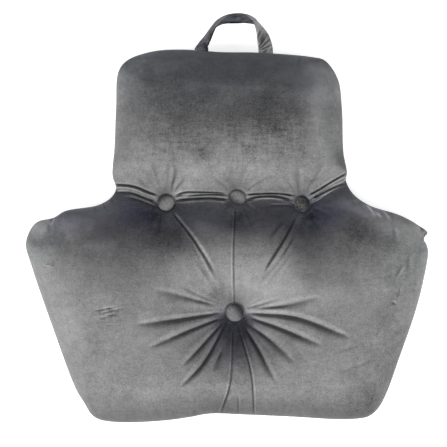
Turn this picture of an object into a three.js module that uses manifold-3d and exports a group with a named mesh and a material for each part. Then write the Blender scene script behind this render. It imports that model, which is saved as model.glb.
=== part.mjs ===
// Back cushion: a T-shaped velvet cushion with a head section, a tufted waist, a wide lower body,
// four covered buttons and a twisted carry loop. It lies on its back, face up.
// Millimetres. X runs across, Y towards the head, Z up out of the face. The origin is on the
// floor, under the middle of the whole part.

import * as THREE from 'three';
import { mergeVertices } from 'three/addons/utils/BufferGeometryUtils.js';
import Module from 'manifold-3d';

const wasm = await Module();
wasm.setup();

// Heights and roundings of the filled cover
const SEAM_HEIGHT = 48;
const CROWN = 57;
const CROWN_GAIN = 21;
const CROWN_REACH = 190;
const FACE_ROUND = 70;
const FACE_POWER = 0.5;
const BACK_ROUND = 45;
const BACK_POWER = 0.5;
const SIDE_BLEND = 3;
// The head section gets thinner from the waist to its top.
const HEAD_START = 60;
const HEAD_TAPER = 0.11;

// Clearance between pieces that touch
const GAP = 0.3;

// The outline, side by side, counter-clockwise from the lower left corner.
// Each side starts at its own first point and ends at the next side's first point.
const SIDES = [
  { name: 'bottom', points: [[-272, -392], [-256, -403], [-213, -409], [-130, -406], [-75, -399],
    [-35, -392], [40, -394], [130, -398], [240, -403]] },
  { name: 'right', points: [[283, -397], [302, -381], [318, -352], [345, -278], [378, -182],
    [396, -108], [402, -67], [398, -53]] },
  { name: 'right_shoulder', points: [[392, -44], [399, -30], [379, -13], [345, 5], [284, 25],
    [252, 48]] },
  { name: 'head_right', points: [[238, 74], [240, 90], [233, 130], [230, 218], [222, 276]] },
  { name: 'top', points: [[196, 314], [170, 321], [60, 330], [-10, 331], [-90, 336], [-150, 332]] },
  { name: 'head_left', points: [[-200, 314], [-217, 292], [-222, 218], [-225, 140], [-229, 84]] },
  { name: 'left_shoulder', points: [[-222, 58], [-232, 40], [-258, 25], [-324, 13], [-346, 0],
    [-380, -9]] },
  { name: 'left', points: [[-395, -28], [-402, -54], [-390, -98], [-350, -214], [-302, -342],
    [-284, -372]] },
];
const RIM_STEP = 15;

// The waist crease runs from edge to edge through the three waist buttons.
const WAIST_LINE = [[-226, 60], [-190, 60], [-160, 46], [-121, 30], [-85, 43], [-40, 45], [20, 40],
  [80, 46], [120, 42], [149, 28], [175, 40], [211, 63], [242, 78]];
const WAIST_PULLS = [{ share: 0.46, reach: 70 }];
// Close to the crease and the waist buttons the cloth dips once more.
const WAIST_TUCK_PULLS = [{ share: 0.16, reach: 14 }];

const WAIST_BUTTON_PULLS = [{ share: 0.25, reach: 22 }];
const BUTTONS = [
  { name: 'button_left', x: -121, y: 29.4, radius: 16.8, onWaist: true,
    pulls: WAIST_BUTTON_PULLS, dish: { share: 0, reach: 1 } },
  { name: 'button_middle', x: 20, y: 38, radius: 16.8, onWaist: true,
    pulls: WAIST_BUTTON_PULLS, dish: { share: 0, reach: 1 } },
  { name: 'button_right', x: 149, y: 27, radius: 16.8, onWaist: true,
    pulls: WAIST_BUTTON_PULLS, dish: { share: 0, reach: 1 } },
  { name: 'button_lower', x: 15.6, y: -188.2, radius: 18.8, onWaist: false,
    pulls: [{ share: 0.17, reach: 15 }, { share: 0.07, reach: 50 }],
    dish: { share: 0.42, reach: 165 } },
];
const BUTTON_RIM = 3;
const BUTTON_DOME = 11;
const BUTTON_BEVEL = 1;
const BUTTON_SEGMENTS = 28;
const DOME_STEPS = 5;
const POCKET_HEIGHT = 60;
const POCKET_DEPTH = 1.5;

// Folds that run out from the buttons: a trough of the given depth and half-width along a curve.
// A fold that is open runs on at full depth to its end, at the cushion's edge.
const FOLDS = [
  { name: 'east_long', from: [46, -192], by: [140, -200], to: [244, -240], depth: 8, half: 8 },
  { name: 'east_low', from: [46, -200], by: [120, -226], to: [186, -255], depth: 7, half: 8 },
  { name: 'south_east', from: [44, -208], by: [90, -245], to: [130, -286], depth: 5, half: 8 },
  { name: 'south_east_low', from: [38, -216], by: [70, -268], to: [94, -322], depth: 6, half: 8 },
  { name: 'pleat_right', from: [22, -215], by: [56, -310], to: [54, -394], depth: 5, half: 6,
    open: true },
  { name: 'pleat_left', from: [10, -235], by: [9, -330], to: [-16, -392], depth: 5, half: 6,
    open: true },
  { name: 'south_west_low', from: [-6, -226], by: [-45, -290], to: [-92, -334], depth: 6, half: 8 },
  { name: 'south_west', from: [-10, -214], by: [-45, -252], to: [-88, -295], depth: 6, half: 8 },
  { name: 'west_low', from: [-16, -204], by: [-75, -224], to: [-154, -258], depth: 6, half: 8 },
  { name: 'west_long', from: [-20, -192], by: [-90, -205], to: [-184, -216], depth: 7, half: 8 },
  { name: 'west_up', from: [-18, -178], by: [-85, -160], to: [-154, -142], depth: 5, half: 8 },
  { name: 'east_up', from: [52, -182], by: [115, -178], to: [184, -158], depth: 5, half: 8 },
  { name: 'from_left_button', from: [-110, 6], by: [-62, -60], to: [-4, -150], depth: 5, half: 6 },
  { name: 'from_right_button', from: [139, 4], by: [100, -62], to: [52, -148], depth: 5, half: 6 },
  { name: 'from_middle_button', from: [17, 14], by: [13, -80], to: [15, -160], depth: 4, half: 6 },
  { name: 'head_left_out', from: [-142, 50], by: [-165, 80], to: [-206, 128], depth: 4, half: 7 },
  { name: 'head_left_in', from: [-128, 56], by: [-132, 90], to: [-152, 132], depth: 4, half: 7 },
  { name: 'head_left_mid', from: [-106, 52], by: [-98, 80], to: [-82, 112], depth: 3, half: 7 },
  { name: 'head_middle_out', from: [36, 58], by: [50, 80], to: [84, 104], depth: 4, half: 7 },
  { name: 'head_middle_in', from: [8, 62], by: [0, 90], to: [-5, 124], depth: 3, half: 7 },
  { name: 'head_right_in', from: [150, 52], by: [154, 80], to: [164, 112], depth: 4, half: 7 },
  { name: 'head_right_out', from: [166, 48], by: [180, 74], to: [200, 122], depth: 3, half: 7 },
];

// The sewn tucks of the waist: sharp parallel channels between the buttons and out to the edges.
const TUCKS = [
  { name: 'tuck_left_upper', line: [[-228, 66], [-188, 64], [-150, 50], [-134, 40]] },
  { name: 'tuck_left_lower', line: [[-218, 50], [-186, 51], [-160, 36], [-140, 24]] },
  { name: 'tuck_middle_upper', line: [[-104, 44], [-80, 50], [-30, 50], [4, 48]] },
  { name: 'tuck_middle_lower', line: [[-102, 35], [-60, 38], [-24, 38], [4, 36]] },
  { name: 'tuck_right_upper', line: [[36, 46], [66, 48], [100, 48], [134, 44]] },
  { name: 'tuck_right_lower', line: [[36, 36], [56, 42], [100, 41], [132, 34]] },
  { name: 'tuck_edge_upper', line: [[163, 44], [185, 57], [212, 73], [240, 88]] },
  { name: 'tuck_edge_lower', line: [[164, 32], [186, 46], [212, 59], [238, 68]] },
];
const TUCK_DEPTH = 6;
const TUCK_HALF = 4.5;

const FOLD_STEPS = 10;
const RIDGE_SHARE = 0.35;
const RIDGE_PLACE = 1.9;
const FOLD_RISE = 0.12;
const FOLD_EDGE = 24;
const FOLD_FADE = 0.8;

// Spacing of the points on the face: close along the waist and round the lower button.
const COLUMNS = { start: -412, bands: [{ to: -112, step: 16 }, { to: 202, step: 9.8 },
  { to: 412, step: 16 }] };
const ROWS = { start: -416, bands: [{ to: -340, step: 15 }, { to: -140, step: 9.8 },
  { to: 10, step: 13 }, { to: 100, step: 6.2 }, { to: 344, step: 15 }] };
const GRID_BOW = 0.4;
const GRID_BOW_LENGTH = 70;
const GRID_CLEARANCE = 6;
const FACE_RINGS = [2.5, 9, 20];
const BACK_RINGS = [2.5, 8, 19, 33, 45];
const MARCH_STEP = 2.5;
const MARCH_SMOOTHING = 0.25;
const EASING_PASSES = 60;

// The carry loop: a padded strap, flat at both roots, turned on edge and cupped over its arch.
const STRAP_WIDTH = 29;
const STRAP_THICKNESS = 6;
const STRAP_STATIONS = [
  { x: -56, y: 322, z: 48, turn: 0, cup: 0 },
  { x: -52, y: 334, z: 48, turn: -8, cup: 0 },
  { x: -47, y: 346, z: 48, turn: -48, cup: 2 },
  { x: -37, y: 362, z: 47, turn: -68, cup: 4 },
  { x: -25, y: 378, z: 46, turn: -80, cup: 5 },
  { x: -11, y: 390, z: 45, turn: -95, cup: 7 },
  { x: 6, y: 396.5, z: 44, turn: -115, cup: 7 },
  { x: 23, y: 398.4, z: 43, turn: -122, cup: 7 },
  { x: 37, y: 397, z: 43, turn: -114, cup: 7 },
  { x: 49, y: 392, z: 44, turn: -96, cup: 7 },
  { x: 60, y: 383, z: 45, turn: -72, cup: 5 },
  { x: 69, y: 369, z: 47, turn: -42, cup: 3 },
  { x: 74, y: 354, z: 48, turn: -16, cup: 1 },
  { x: 77, y: 334, z: 48, turn: 0, cup: 0 },
  { x: 78, y: 321, z: 48, turn: 0, cup: 0 },
];
const STRAP_STEPS = 3;
const STRAP_SECTION = 5;
const STRAP_EDGE = 0.45;
const STRAP_EDGE_THINNING = 0.5;

const WELD = 1e-4;
const velvet = { color: 0x7b7b7e, roughness: 0.95, metalness: 0 };

// Lines and distances in the plan view

function distanceToPiece(x, y, a, b) {
  const dx = b[0] - a[0];
  const dy = b[1] - a[1];
  const share = ((x - a[0]) * dx + (y - a[1]) * dy) / (dx * dx + dy * dy);
  const along = Math.min(Math.max(share, 0), 1);
  return { along, distance: Math.hypot(x - a[0] - along * dx, y - a[1] - along * dy) };
}

function nearestOnLine(x, y, line) {
  const best = { distance: Infinity, along: 0 };
  for (let i = 0; i + 1 < line.length; i += 1) {
    const near = distanceToPiece(x, y, line[i], line[i + 1]);
    if (near.distance < best.distance) {
      best.distance = near.distance;
      best.along = (i + near.along) / (line.length - 1);
    }
  }
  return best;
}

function smoothLine(points, steps) {
  const curve = new THREE.CatmullRomCurve3(points.map(([x, y]) => new THREE.Vector3(x, y, 0)));
  return curve.getPoints(steps).map((p) => [p.x, p.y]);
}

function bowedLine(fold) {
  const ends = [fold.from, fold.by, fold.to].map(([x, y]) => new THREE.Vector2(x, y));
  return new THREE.SplineCurve(ends).getPoints(FOLD_STEPS).map((p) => [p.x, p.y]);
}

// The rim: one closed smooth curve through every outline point, with its side noted

function sampleRim() {
  const knots = SIDES.flatMap((side) => side.points);
  const curve = new THREE.CatmullRomCurve3(knots.map(([x, y]) => new THREE.Vector3(x, y, 0)),
    true, 'centripetal');
  const lines = SIDES.map(() => []);
  const rim = [];
  let knot = 0;
  SIDES.forEach((side, sideIndex) => {
    for (let k = 0; k < side.points.length; k += 1) {
      const from = knots[knot];
      const to = knots[(knot + 1) % knots.length];
      const steps = Math.max(1, Math.round(Math.hypot(to[0] - from[0], to[1] - from[1]) / RIM_STEP));
      for (let i = 0; i < steps; i += 1) {
        const p = curve.getPoint((knot + i / steps) / knots.length);
        rim.push([p.x, p.y]);
        lines[sideIndex].push([p.x, p.y]);
      }
      knot += 1;
    }
  });
  lines.forEach((line, i) => line.push(lines[(i + 1) % lines.length][0]));
  return { rim, lines };
}

const { rim, lines: sideLines } = sampleRim();
const waistLine = smoothLine(WAIST_LINE, 48);
const foldLines = [
  ...FOLDS.map((fold) => ({ ...fold, line: bowedLine(fold) })),
  ...TUCKS.map((tuck) => ({ open: true, depth: TUCK_DEPTH, half: TUCK_HALF,
    line: smoothLine(tuck.line, FOLD_STEPS) })),
];

// Distance in from the rim, blended so that no ridge forms where two sides are equally near
function insetAt(x, y) {
  const sum = sideLines.reduce((total, line) => {
    const { distance } = nearestOnLine(x, y, line);
    return total + Math.max(distance, WELD) ** -SIDE_BLEND;
  }, 0);
  return sum ** (-1 / SIDE_BLEND);
}

// The share of the crown that the waist and the buttons leave standing
function crownLeft(x, y) {
  const fromWaist = nearestOnLine(x, y, waistLine).distance;
  const gaps = BUTTONS.map((button) => Math.max(
    Math.hypot(x - button.x, y - button.y) - button.radius, 0));
  const fromTuck = Math.min(fromWaist, ...gaps.filter((_, i) => BUTTONS[i].onWaist));
  const sunk = (pulls, gap) => pulls.reduce(
    (sum, pull) => sum + pull.share * Math.exp(-gap / pull.reach), 0);
  const dished = ({ share, reach }, gap) => share * (1 - Math.min(gap / reach, 1)) ** 2;
  return BUTTONS.reduce(
    (left, button, i) => left * (1 - sunk(button.pulls, gaps[i]) - dished(button.dish, gaps[i])),
    1 - sunk(WAIST_PULLS, fromWaist) - sunk(WAIST_TUCK_PULLS, fromTuck));
}

function foldRelief(x, y) {
  return foldLines.reduce((sum, fold) => {
    const { distance, along } = nearestOnLine(x, y, fold.line);
    const across = distance / fold.half;
    const shape = Math.exp(-(across ** 2)) - RIDGE_SHARE * Math.exp(-((across - RIDGE_PLACE) ** 2));
    const rise = Math.min(along / FOLD_RISE, 1);
    const fade = fold.open ? 1 : (1 - along) ** FOLD_FADE;
    return sum - fold.depth * rise * fade * shape;
  }, 0);
}

function roundedRise(inset, reach, power) {
  const share = Math.min(inset / reach, 1);
  return (1 - (1 - share) ** 2) ** power;
}

function faceHeight(x, y) {
  const inset = insetAt(x, y);
  const gain = CROWN_GAIN * roundedRise(inset, CROWN_REACH, 1);
  const crown = CROWN + gain - HEAD_TAPER * Math.max(y - HEAD_START, 0);
  const edge = roundedRise(inset, FACE_ROUND, FACE_POWER);
  const folds = foldRelief(x, y) * Math.min(inset / FOLD_EDGE, 1);
  return SEAM_HEIGHT + crown * edge * crownLeft(x, y) + folds;
}

function backHeight(inset) {
  return SEAM_HEIGHT * (1 - roundedRise(inset, BACK_ROUND, BACK_POWER));
}

// Rings inside the rim: the loop marches inward by small steps and is eased after each one
function inwardRing(loop, depth) {
  const steps = Math.ceil(depth / MARCH_STEP);
  let ring = loop;
  for (let s = 0; s < steps; s += 1) {
    ring = ring.map((p, i) => {
      const before = ring[(i + ring.length - 1) % ring.length];
      const after = ring[(i + 1) % ring.length];
      const dx = after[0] - before[0];
      const dy = after[1] - before[1];
      const step = depth / steps / Math.hypot(dx, dy);
      return [p[0] - dy * step, p[1] + dx * step];
    });
    ring = ring.map((p, i) => {
      const before = ring[(i + ring.length - 1) % ring.length];
      const after = ring[(i + 1) % ring.length];
      return [0, 1].map((k) => p[k] + MARCH_SMOOTHING * ((before[k] + after[k]) / 2 - p[k]));
    });
  }
  return ring;
}

function nestedRings(insets) {
  const rings = [];
  insets.forEach((inset, i) => {
    const previous = i === 0 ? rim : rings[i - 1];
    rings.push(inwardRing(previous, inset - (i === 0 ? 0 : insets[i - 1])));
  });
  return rings;
}

function stations({ start, bands }) {
  const list = [start];
  let from = start;
  bands.forEach(({ to, step }) => {
    const count = Math.round((to - from) / step);
    for (let i = 1; i <= count; i += 1) list.push(from + ((to - from) * i) / count);
    from = to;
  });
  return list;
}

function isInside(x, y, loop) {
  let inside = false;
  loop.forEach(([ax, ay], i) => {
    const [bx, by] = loop[(i + 1) % loop.length];
    if ((ay > y) !== (by > y) && x < ax + ((bx - ax) * (y - ay)) / (by - ay)) inside = !inside;
  });
  return inside;
}

// The cells of the face grid that lie wholly inside the innermost ring
function gridCells(ring) {
  const columns = stations(COLUMNS);
  const rows = stations(ROWS);
  const closed = [...ring, ring[0]];
  const points = rows.map((y) => columns.map((x) => {
    const px = x + GRID_BOW * Math.sin(y / GRID_BOW_LENGTH);
    const py = y + GRID_BOW * Math.sin(x / GRID_BOW_LENGTH);
    const fits = isInside(px, py, ring) && nearestOnLine(px, py, closed).distance > GRID_CLEARANCE;
    return { place: [px, py], fits, index: -1 };
  }));
  const cells = [];
  for (let r = 0; r + 1 < rows.length; r += 1) {
    for (let c = 0; c + 1 < columns.length; c += 1) {
      const corners = [points[r][c], points[r][c + 1], points[r + 1][c + 1], points[r + 1][c]];
      if (corners.every((corner) => corner.fits)) cells.push(corners);
    }
  }
  return cells;
}

// The outer edge of the cells as one loop of grid points
function outerLoop(cells) {
  const next = new Map();
  const key = (a, b) => `${a.index}_${b.index}`;
  const used = new Set(cells.flatMap((cell) => cell.map((a, i) => key(a, cell[(i + 1) % 4]))));
  cells.forEach((cell) => cell.forEach((a, i) => {
    const b = cell[(i + 1) % 4];
    if (!used.has(key(b, a))) next.set(a, b);
  }));
  const first = next.keys().next().value;
  const loop = [first];
  for (let p = next.get(first); p !== first; p = next.get(p)) loop.push(p);
  if (loop.length !== next.size) throw new Error('the face grid has more than one edge');
  return loop;
}

// Swaps the diagonals of a flat triangulation until no pair of neighbours would fit better swapped
function eased(faces, points) {
  const cotangent = (at, a, b) => {
    const u = points[a].clone().sub(points[at]);
    const v = points[b].clone().sub(points[at]);
    return u.dot(v) / Math.abs(u.cross(v));
  };
  const sideKey = (a, b) => `${a}_${b}`;
  const list = faces.map((face) => [...face]);
  let swapped = true;
  for (let pass = 0; swapped && pass < EASING_PASSES; pass += 1) {
    swapped = false;
    const owner = new Map();
    list.forEach((face, f) => face.forEach((a, i) => owner.set(sideKey(a, face[(i + 1) % 3]), f)));
    const touched = new Set();
    list.forEach((face, f) => face.forEach((a, i) => {
      const b = face[(i + 1) % 3];
      const g = owner.get(sideKey(b, a));
      if (g === undefined || touched.has(f) || touched.has(g)) return;
      const c = face[(i + 2) % 3];
      const d = list[g].find((corner) => corner !== a && corner !== b);
      if (cotangent(c, a, b) + cotangent(d, a, b) >= -WELD) return;
      touched.add(f).add(g);
      list[f] = [c, a, d];
      list[g] = [d, b, c];
      swapped = true;
    }));
  }
  return list;
}

function cushionGeometry() {
  const places = [];
  const triangles = [];
  const add = (x, y, z) => places.push(x, y, z) / 3 - 1;
  const addRing = (ring, height) => ring.map(([x, y]) => add(x, y, height(x, y)));
  const strip = (outer, inner, up) => outer.forEach((a, i) => {
    const j = (i + 1) % outer.length;
    const quad = up ? [a, outer[j], inner[j], inner[i]] : [inner[i], inner[j], outer[j], a];
    triangles.push(quad[0], quad[1], quad[2], quad[0], quad[2], quad[3]);
  });
  const rimIndices = addRing(rim, () => SEAM_HEIGHT);

  const faceRings = nestedRings(FACE_RINGS);
  const faceIndices = [rimIndices, ...faceRings.map((ring) => addRing(ring, faceHeight))];
  for (let i = 0; i + 1 < faceIndices.length; i += 1) strip(faceIndices[i], faceIndices[i + 1], true);

  const innerRing = faceRings[faceRings.length - 1];
  const cells = gridCells(innerRing);
  cells.flat().forEach((point) => {
    if (point.index < 0) point.index = add(...point.place, faceHeight(...point.place));
  });
  const heightOf = (point) => places[point.index * 3 + 2];
  cells.forEach(([a, b, c, d]) => {
    const alongFirst = Math.abs(heightOf(a) - heightOf(c)) <= Math.abs(heightOf(b) - heightOf(d));
    const corners = alongFirst ? [a, b, c, a, c, d] : [a, b, d, b, c, d];
    triangles.push(...corners.map((point) => point.index));
  });

  const loop = outerLoop(cells);
  const toVector = ([x, y]) => new THREE.Vector2(x, y);
  const contour = innerRing.map(toVector);
  const hole = loop.map((point) => toVector(point.place)).reverse();
  const bandIndices = [...faceIndices[faceIndices.length - 1],
    ...loop.map((point) => point.index).reverse()];
  const band = eased(THREE.ShapeUtils.triangulateShape(contour, [hole]), [...contour, ...hole]);
  band.forEach((face) => triangles.push(...face.map((i) => bandIndices[i])));

  const backRings = nestedRings(BACK_RINGS);
  const backIndices = [rimIndices, ...backRings.map((ring, i) => addRing(ring,
    () => backHeight(BACK_RINGS[i])))];
  for (let i = 0; i + 1 < backIndices.length; i += 1) strip(backIndices[i], backIndices[i + 1], false);
  const flat = backRings[backRings.length - 1].map(toVector);
  const flatIndices = backIndices[backIndices.length - 1];
  eased(THREE.ShapeUtils.triangulateShape(flat, []), flat).forEach(([a, b, c]) => {
    triangles.push(flatIndices[c], flatIndices[b], flatIndices[a]);
  });

  const geometry = new THREE.BufferGeometry();
  geometry.setAttribute('position', new THREE.Float32BufferAttribute(places, 3));
  geometry.setIndex(triangles);
  return geometry;
}

// Solids for cutting

function welded(geometry) {
  const bare = geometry.clone();
  bare.deleteAttribute('normal');
  bare.deleteAttribute('uv');
  const merged = mergeVertices(bare, WELD);
  const corners = merged.index.array;
  const kept = [];
  for (let i = 0; i < corners.length; i += 3) {
    const [a, b, c] = [corners[i], corners[i + 1], corners[i + 2]];
    if (a !== b && b !== c && c !== a) kept.push(a, b, c);
  }
  merged.setIndex(kept);
  return merged;
}

function toSolid(geometry) {
  const merged = welded(geometry);
  return new wasm.Manifold(new wasm.Mesh({
    numProp: 3,
    vertProperties: new Float32Array(merged.attributes.position.array),
    triVerts: new Uint32Array(merged.index.array),
  }));
}

function toGeometry(solid) {
  const { vertProperties, triVerts, numProp } = solid.getMesh();
  const places = [];
  for (let i = 0; i < vertProperties.length; i += numProp) {
    places.push(vertProperties[i], vertProperties[i + 1], vertProperties[i + 2]);
  }
  const geometry = new THREE.BufferGeometry();
  geometry.setAttribute('position', new THREE.Float32BufferAttribute(places, 3));
  geometry.setIndex([...triVerts]);
  return geometry;
}

function turned(profile) {
  const points = profile.map(([radius, height]) => new THREE.Vector2(radius, height));
  return welded(new THREE.LatheGeometry(points, BUTTON_SEGMENTS).rotateX(Math.PI / 2));
}

// Each button sits on a small flat pressed into the bottom of its dimple
function seatHeight({ x, y }) {
  return faceHeight(x, y) - POCKET_DEPTH;
}

function cushionSolid() {
  return BUTTONS.reduce((solid, button) => {
    const pocket = turned([[0, 0], [button.radius + GAP, 0], [button.radius + GAP, POCKET_HEIGHT],
      [0, POCKET_HEIGHT]]);
    pocket.translate(button.x, button.y, seatHeight(button));
    return solid.subtract(toSolid(pocket));
  }, toSolid(cushionGeometry()));
}

// A covered button: flat back, thin rolled rim and a low dome
function buttonGeometry({ radius }) {
  const profile = [[0, 0], [radius - BUTTON_BEVEL, 0], [radius, BUTTON_BEVEL], [radius, BUTTON_RIM]];
  for (let i = 1; i < DOME_STEPS; i += 1) {
    const angle = (i / DOME_STEPS) * (Math.PI / 2);
    profile.push([radius * Math.cos(angle), BUTTON_RIM + (BUTTON_DOME - BUTTON_RIM) * Math.sin(angle)]);
  }
  profile.push([0, BUTTON_DOME]);
  return turned(profile);
}

// One cross-section of the strap: across runs from edge to edge, and the cup bows it outward
function strapSection({ width, thickness, cup }) {
  const outside = [];
  const inside = [];
  for (let i = 0; i <= STRAP_SECTION; i += 1) {
    const across = i / STRAP_SECTION - 0.5;
    const bow = cup * (1 - 4 * across * across);
    const half = (thickness / 2) * (Math.abs(across) > STRAP_EDGE ? STRAP_EDGE_THINNING : 1);
    outside.unshift([across * width, bow + half]);
    inside.push([across * width, bow - half]);
  }
  return [...outside, ...inside];
}

function strapGeometry() {
  const knots = STRAP_STATIONS.map(({ x, y, z }) => new THREE.Vector3(x, y, z));
  const path = new THREE.CatmullRomCurve3(knots);
  const twists = new THREE.CatmullRomCurve3(STRAP_STATIONS.map(({ turn, cup }, i) => (
    new THREE.Vector3(turn, cup, i))));
  const count = (STRAP_STATIONS.length - 1) * STRAP_STEPS;
  const up = new THREE.Vector3(0, 0, 1);
  const places = [];
  const triangles = [];
  const perRing = 2 * (STRAP_SECTION + 1);
  for (let s = 0; s <= count; s += 1) {
    const centre = path.getPoint(s / count);
    const ahead = path.getTangent(s / count);
    const { x: turn, y: cup } = twists.getPoint(s / count);
    const outward = new THREE.Vector3().crossVectors(up, ahead).normalize();
    const radians = THREE.MathUtils.degToRad(turn);
    const across = outward.clone().multiplyScalar(Math.cos(radians))
      .addScaledVector(up, Math.sin(radians));
    const through = new THREE.Vector3().crossVectors(ahead, across).normalize();
    const section = strapSection({ width: STRAP_WIDTH, thickness: STRAP_THICKNESS, cup });
    section.forEach(([u, v]) => {
      const p = centre.clone().addScaledVector(across, u).addScaledVector(through, v);
      places.push(p.x, p.y, p.z);
    });
    if (s === 0) continue;
    for (let i = 0; i < perRing; i += 1) {
      const j = (i + 1) % perRing;
      const [a, b] = [(s - 1) * perRing + i, (s - 1) * perRing + j];
      const [c, d] = [a + perRing, b + perRing];
      triangles.push(a, b, d, a, d, c);
    }
  }
  const last = count * perRing;
  for (let i = 1; i + 1 < perRing; i += 1) {
    triangles.push(0, i + 1, i);
    triangles.push(last, last + i, last + i + 1);
  }
  const geometry = new THREE.BufferGeometry();
  geometry.setAttribute('position', new THREE.Float32BufferAttribute(places, 3));
  geometry.setIndex(triangles);
  return geometry;
}

// The strap's roots end just clear of the cushion's top edge
function handleGeometry(cushion) {
  return toGeometry(toSolid(strapGeometry()).subtract(cushion.translate([0, GAP, 0])));
}

function namedMesh(name, geometry) {
  geometry.computeVertexNormals();
  const mesh = new THREE.Mesh(geometry, new THREE.MeshStandardMaterial(velvet));
  mesh.name = name;
  return mesh;
}

const cushion = cushionSolid();
const group = new THREE.Group();
group.add(namedMesh('cushion', toGeometry(cushion)));
BUTTONS.forEach((button) => {
  const mesh = namedMesh(button.name, buttonGeometry(button));
  mesh.position.set(button.x, button.y, seatHeight(button) + GAP);
  group.add(mesh);
});
group.add(namedMesh('handle', handleGeometry(cushion)));

export default group;
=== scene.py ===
# A T-shaped velvet back cushion with a tufted waist, folds that radiate from four covered buttons
# and a twisted carry loop, lying on its back. The tables are in millimetres and the objects in
# metres: X across, Y towards the head, Z up out of the face.

import math

import bpy
import numpy as np
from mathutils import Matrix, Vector
from mathutils.geometry import delaunay_2d_cdt
from mathutils.kdtree import KDTree


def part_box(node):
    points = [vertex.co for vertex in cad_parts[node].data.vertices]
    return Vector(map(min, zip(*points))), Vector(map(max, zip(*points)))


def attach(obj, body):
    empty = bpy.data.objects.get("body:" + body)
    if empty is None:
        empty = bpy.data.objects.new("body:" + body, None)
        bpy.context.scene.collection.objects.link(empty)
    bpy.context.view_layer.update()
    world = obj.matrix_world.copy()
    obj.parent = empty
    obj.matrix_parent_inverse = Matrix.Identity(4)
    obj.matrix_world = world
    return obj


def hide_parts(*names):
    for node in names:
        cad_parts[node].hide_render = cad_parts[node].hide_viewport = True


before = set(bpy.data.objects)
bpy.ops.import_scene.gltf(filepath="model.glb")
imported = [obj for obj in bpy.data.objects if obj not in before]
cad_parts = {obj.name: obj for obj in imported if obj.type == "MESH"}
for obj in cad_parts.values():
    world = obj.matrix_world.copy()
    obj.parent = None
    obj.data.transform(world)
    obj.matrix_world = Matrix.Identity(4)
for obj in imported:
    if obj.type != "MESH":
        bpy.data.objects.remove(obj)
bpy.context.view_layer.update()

MM = 0.001
WAIST_BUTTONS = ("button_left", "button_middle", "button_right")
BUTTON_NODES = (*WAIST_BUTTONS, "button_lower")

# Heights, reaches and powers of the filled cover's crown, its taper at the head and its rounding
SEAM_HEIGHT = 48.0
CROWN = 57.0
CROWN_GAIN = 21.0
CROWN_REACH = 190.0
FACE_ROUND = 70.0
FACE_POWER = 0.5
HEAD_START = 60.0
HEAD_TAPER = 0.11
BACK_ROUND = 45.0
BACK_POWER = 0.5
SIDE_BLEND = 3.0
# The least distances that are divided by or raised to a power, and the size of the noise's tables
NEAREST = 1e-4
TINY = 1e-6
NOISE_CELLS = 256

# The outline, side by side, counter-clockwise from the lower left corner
SIDES = {
    "bottom": ((-272, -392), (-256, -403), (-213, -409), (-130, -406), (-75, -399), (-35, -392),
               (40, -394), (130, -398), (240, -403)),
    "right": ((283, -397), (302, -381), (318, -352), (345, -278), (378, -182), (396, -108),
              (402, -67), (398, -53)),
    "right_shoulder": ((392, -44), (399, -30), (379, -13), (345, 5), (284, 25), (252, 48)),
    "head_right": ((238, 74), (240, 90), (233, 130), (230, 218), (222, 276)),
    "top": ((196, 314), (170, 321), (60, 330), (-10, 331), (-90, 336), (-150, 332)),
    "head_left": ((-200, 314), (-217, 292), (-222, 218), (-225, 140), (-229, 84)),
    "left_shoulder": ((-222, 58), (-232, 40), (-258, 25), (-324, 13), (-346, 0), (-380, -9)),
    "left": ((-395, -28), (-402, -54), (-390, -98), (-350, -214), (-302, -342), (-284, -372)),
}
# The corner at the right is a small folded ear: the filling below it stays smooth
EAR_POINTS = {(398, -53): (400, -58), (392, -44): (395, -38), (399, -30): (388, -22)}
SIDE_STEP = 6.0
RIM_STEP = 2.6

# The waist crease: the share of the crown that it takes away, and how far out it reaches
WAIST_LINE = ((-226, 50), (-190, 49), (-160, 37), (-121, 24), (-85, 33), (-40, 35), (20, 33),
              (80, 37), (120, 33), (149, 22), (175, 31), (211, 54), (242, 69))
WAIST_STEPS = 48
WAIST_PULLS = ((0.46, 70.0),)
WAIST_TUCK_PULLS = ((0.16, 14.0),)
WAIST_BUTTON_PULLS = ((0.25, 22.0),)
LOWER_BUTTON_PULLS = ((0.17, 15.0), (0.07, 50.0))
LOWER_DISH = (0.42, 165.0)

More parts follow.
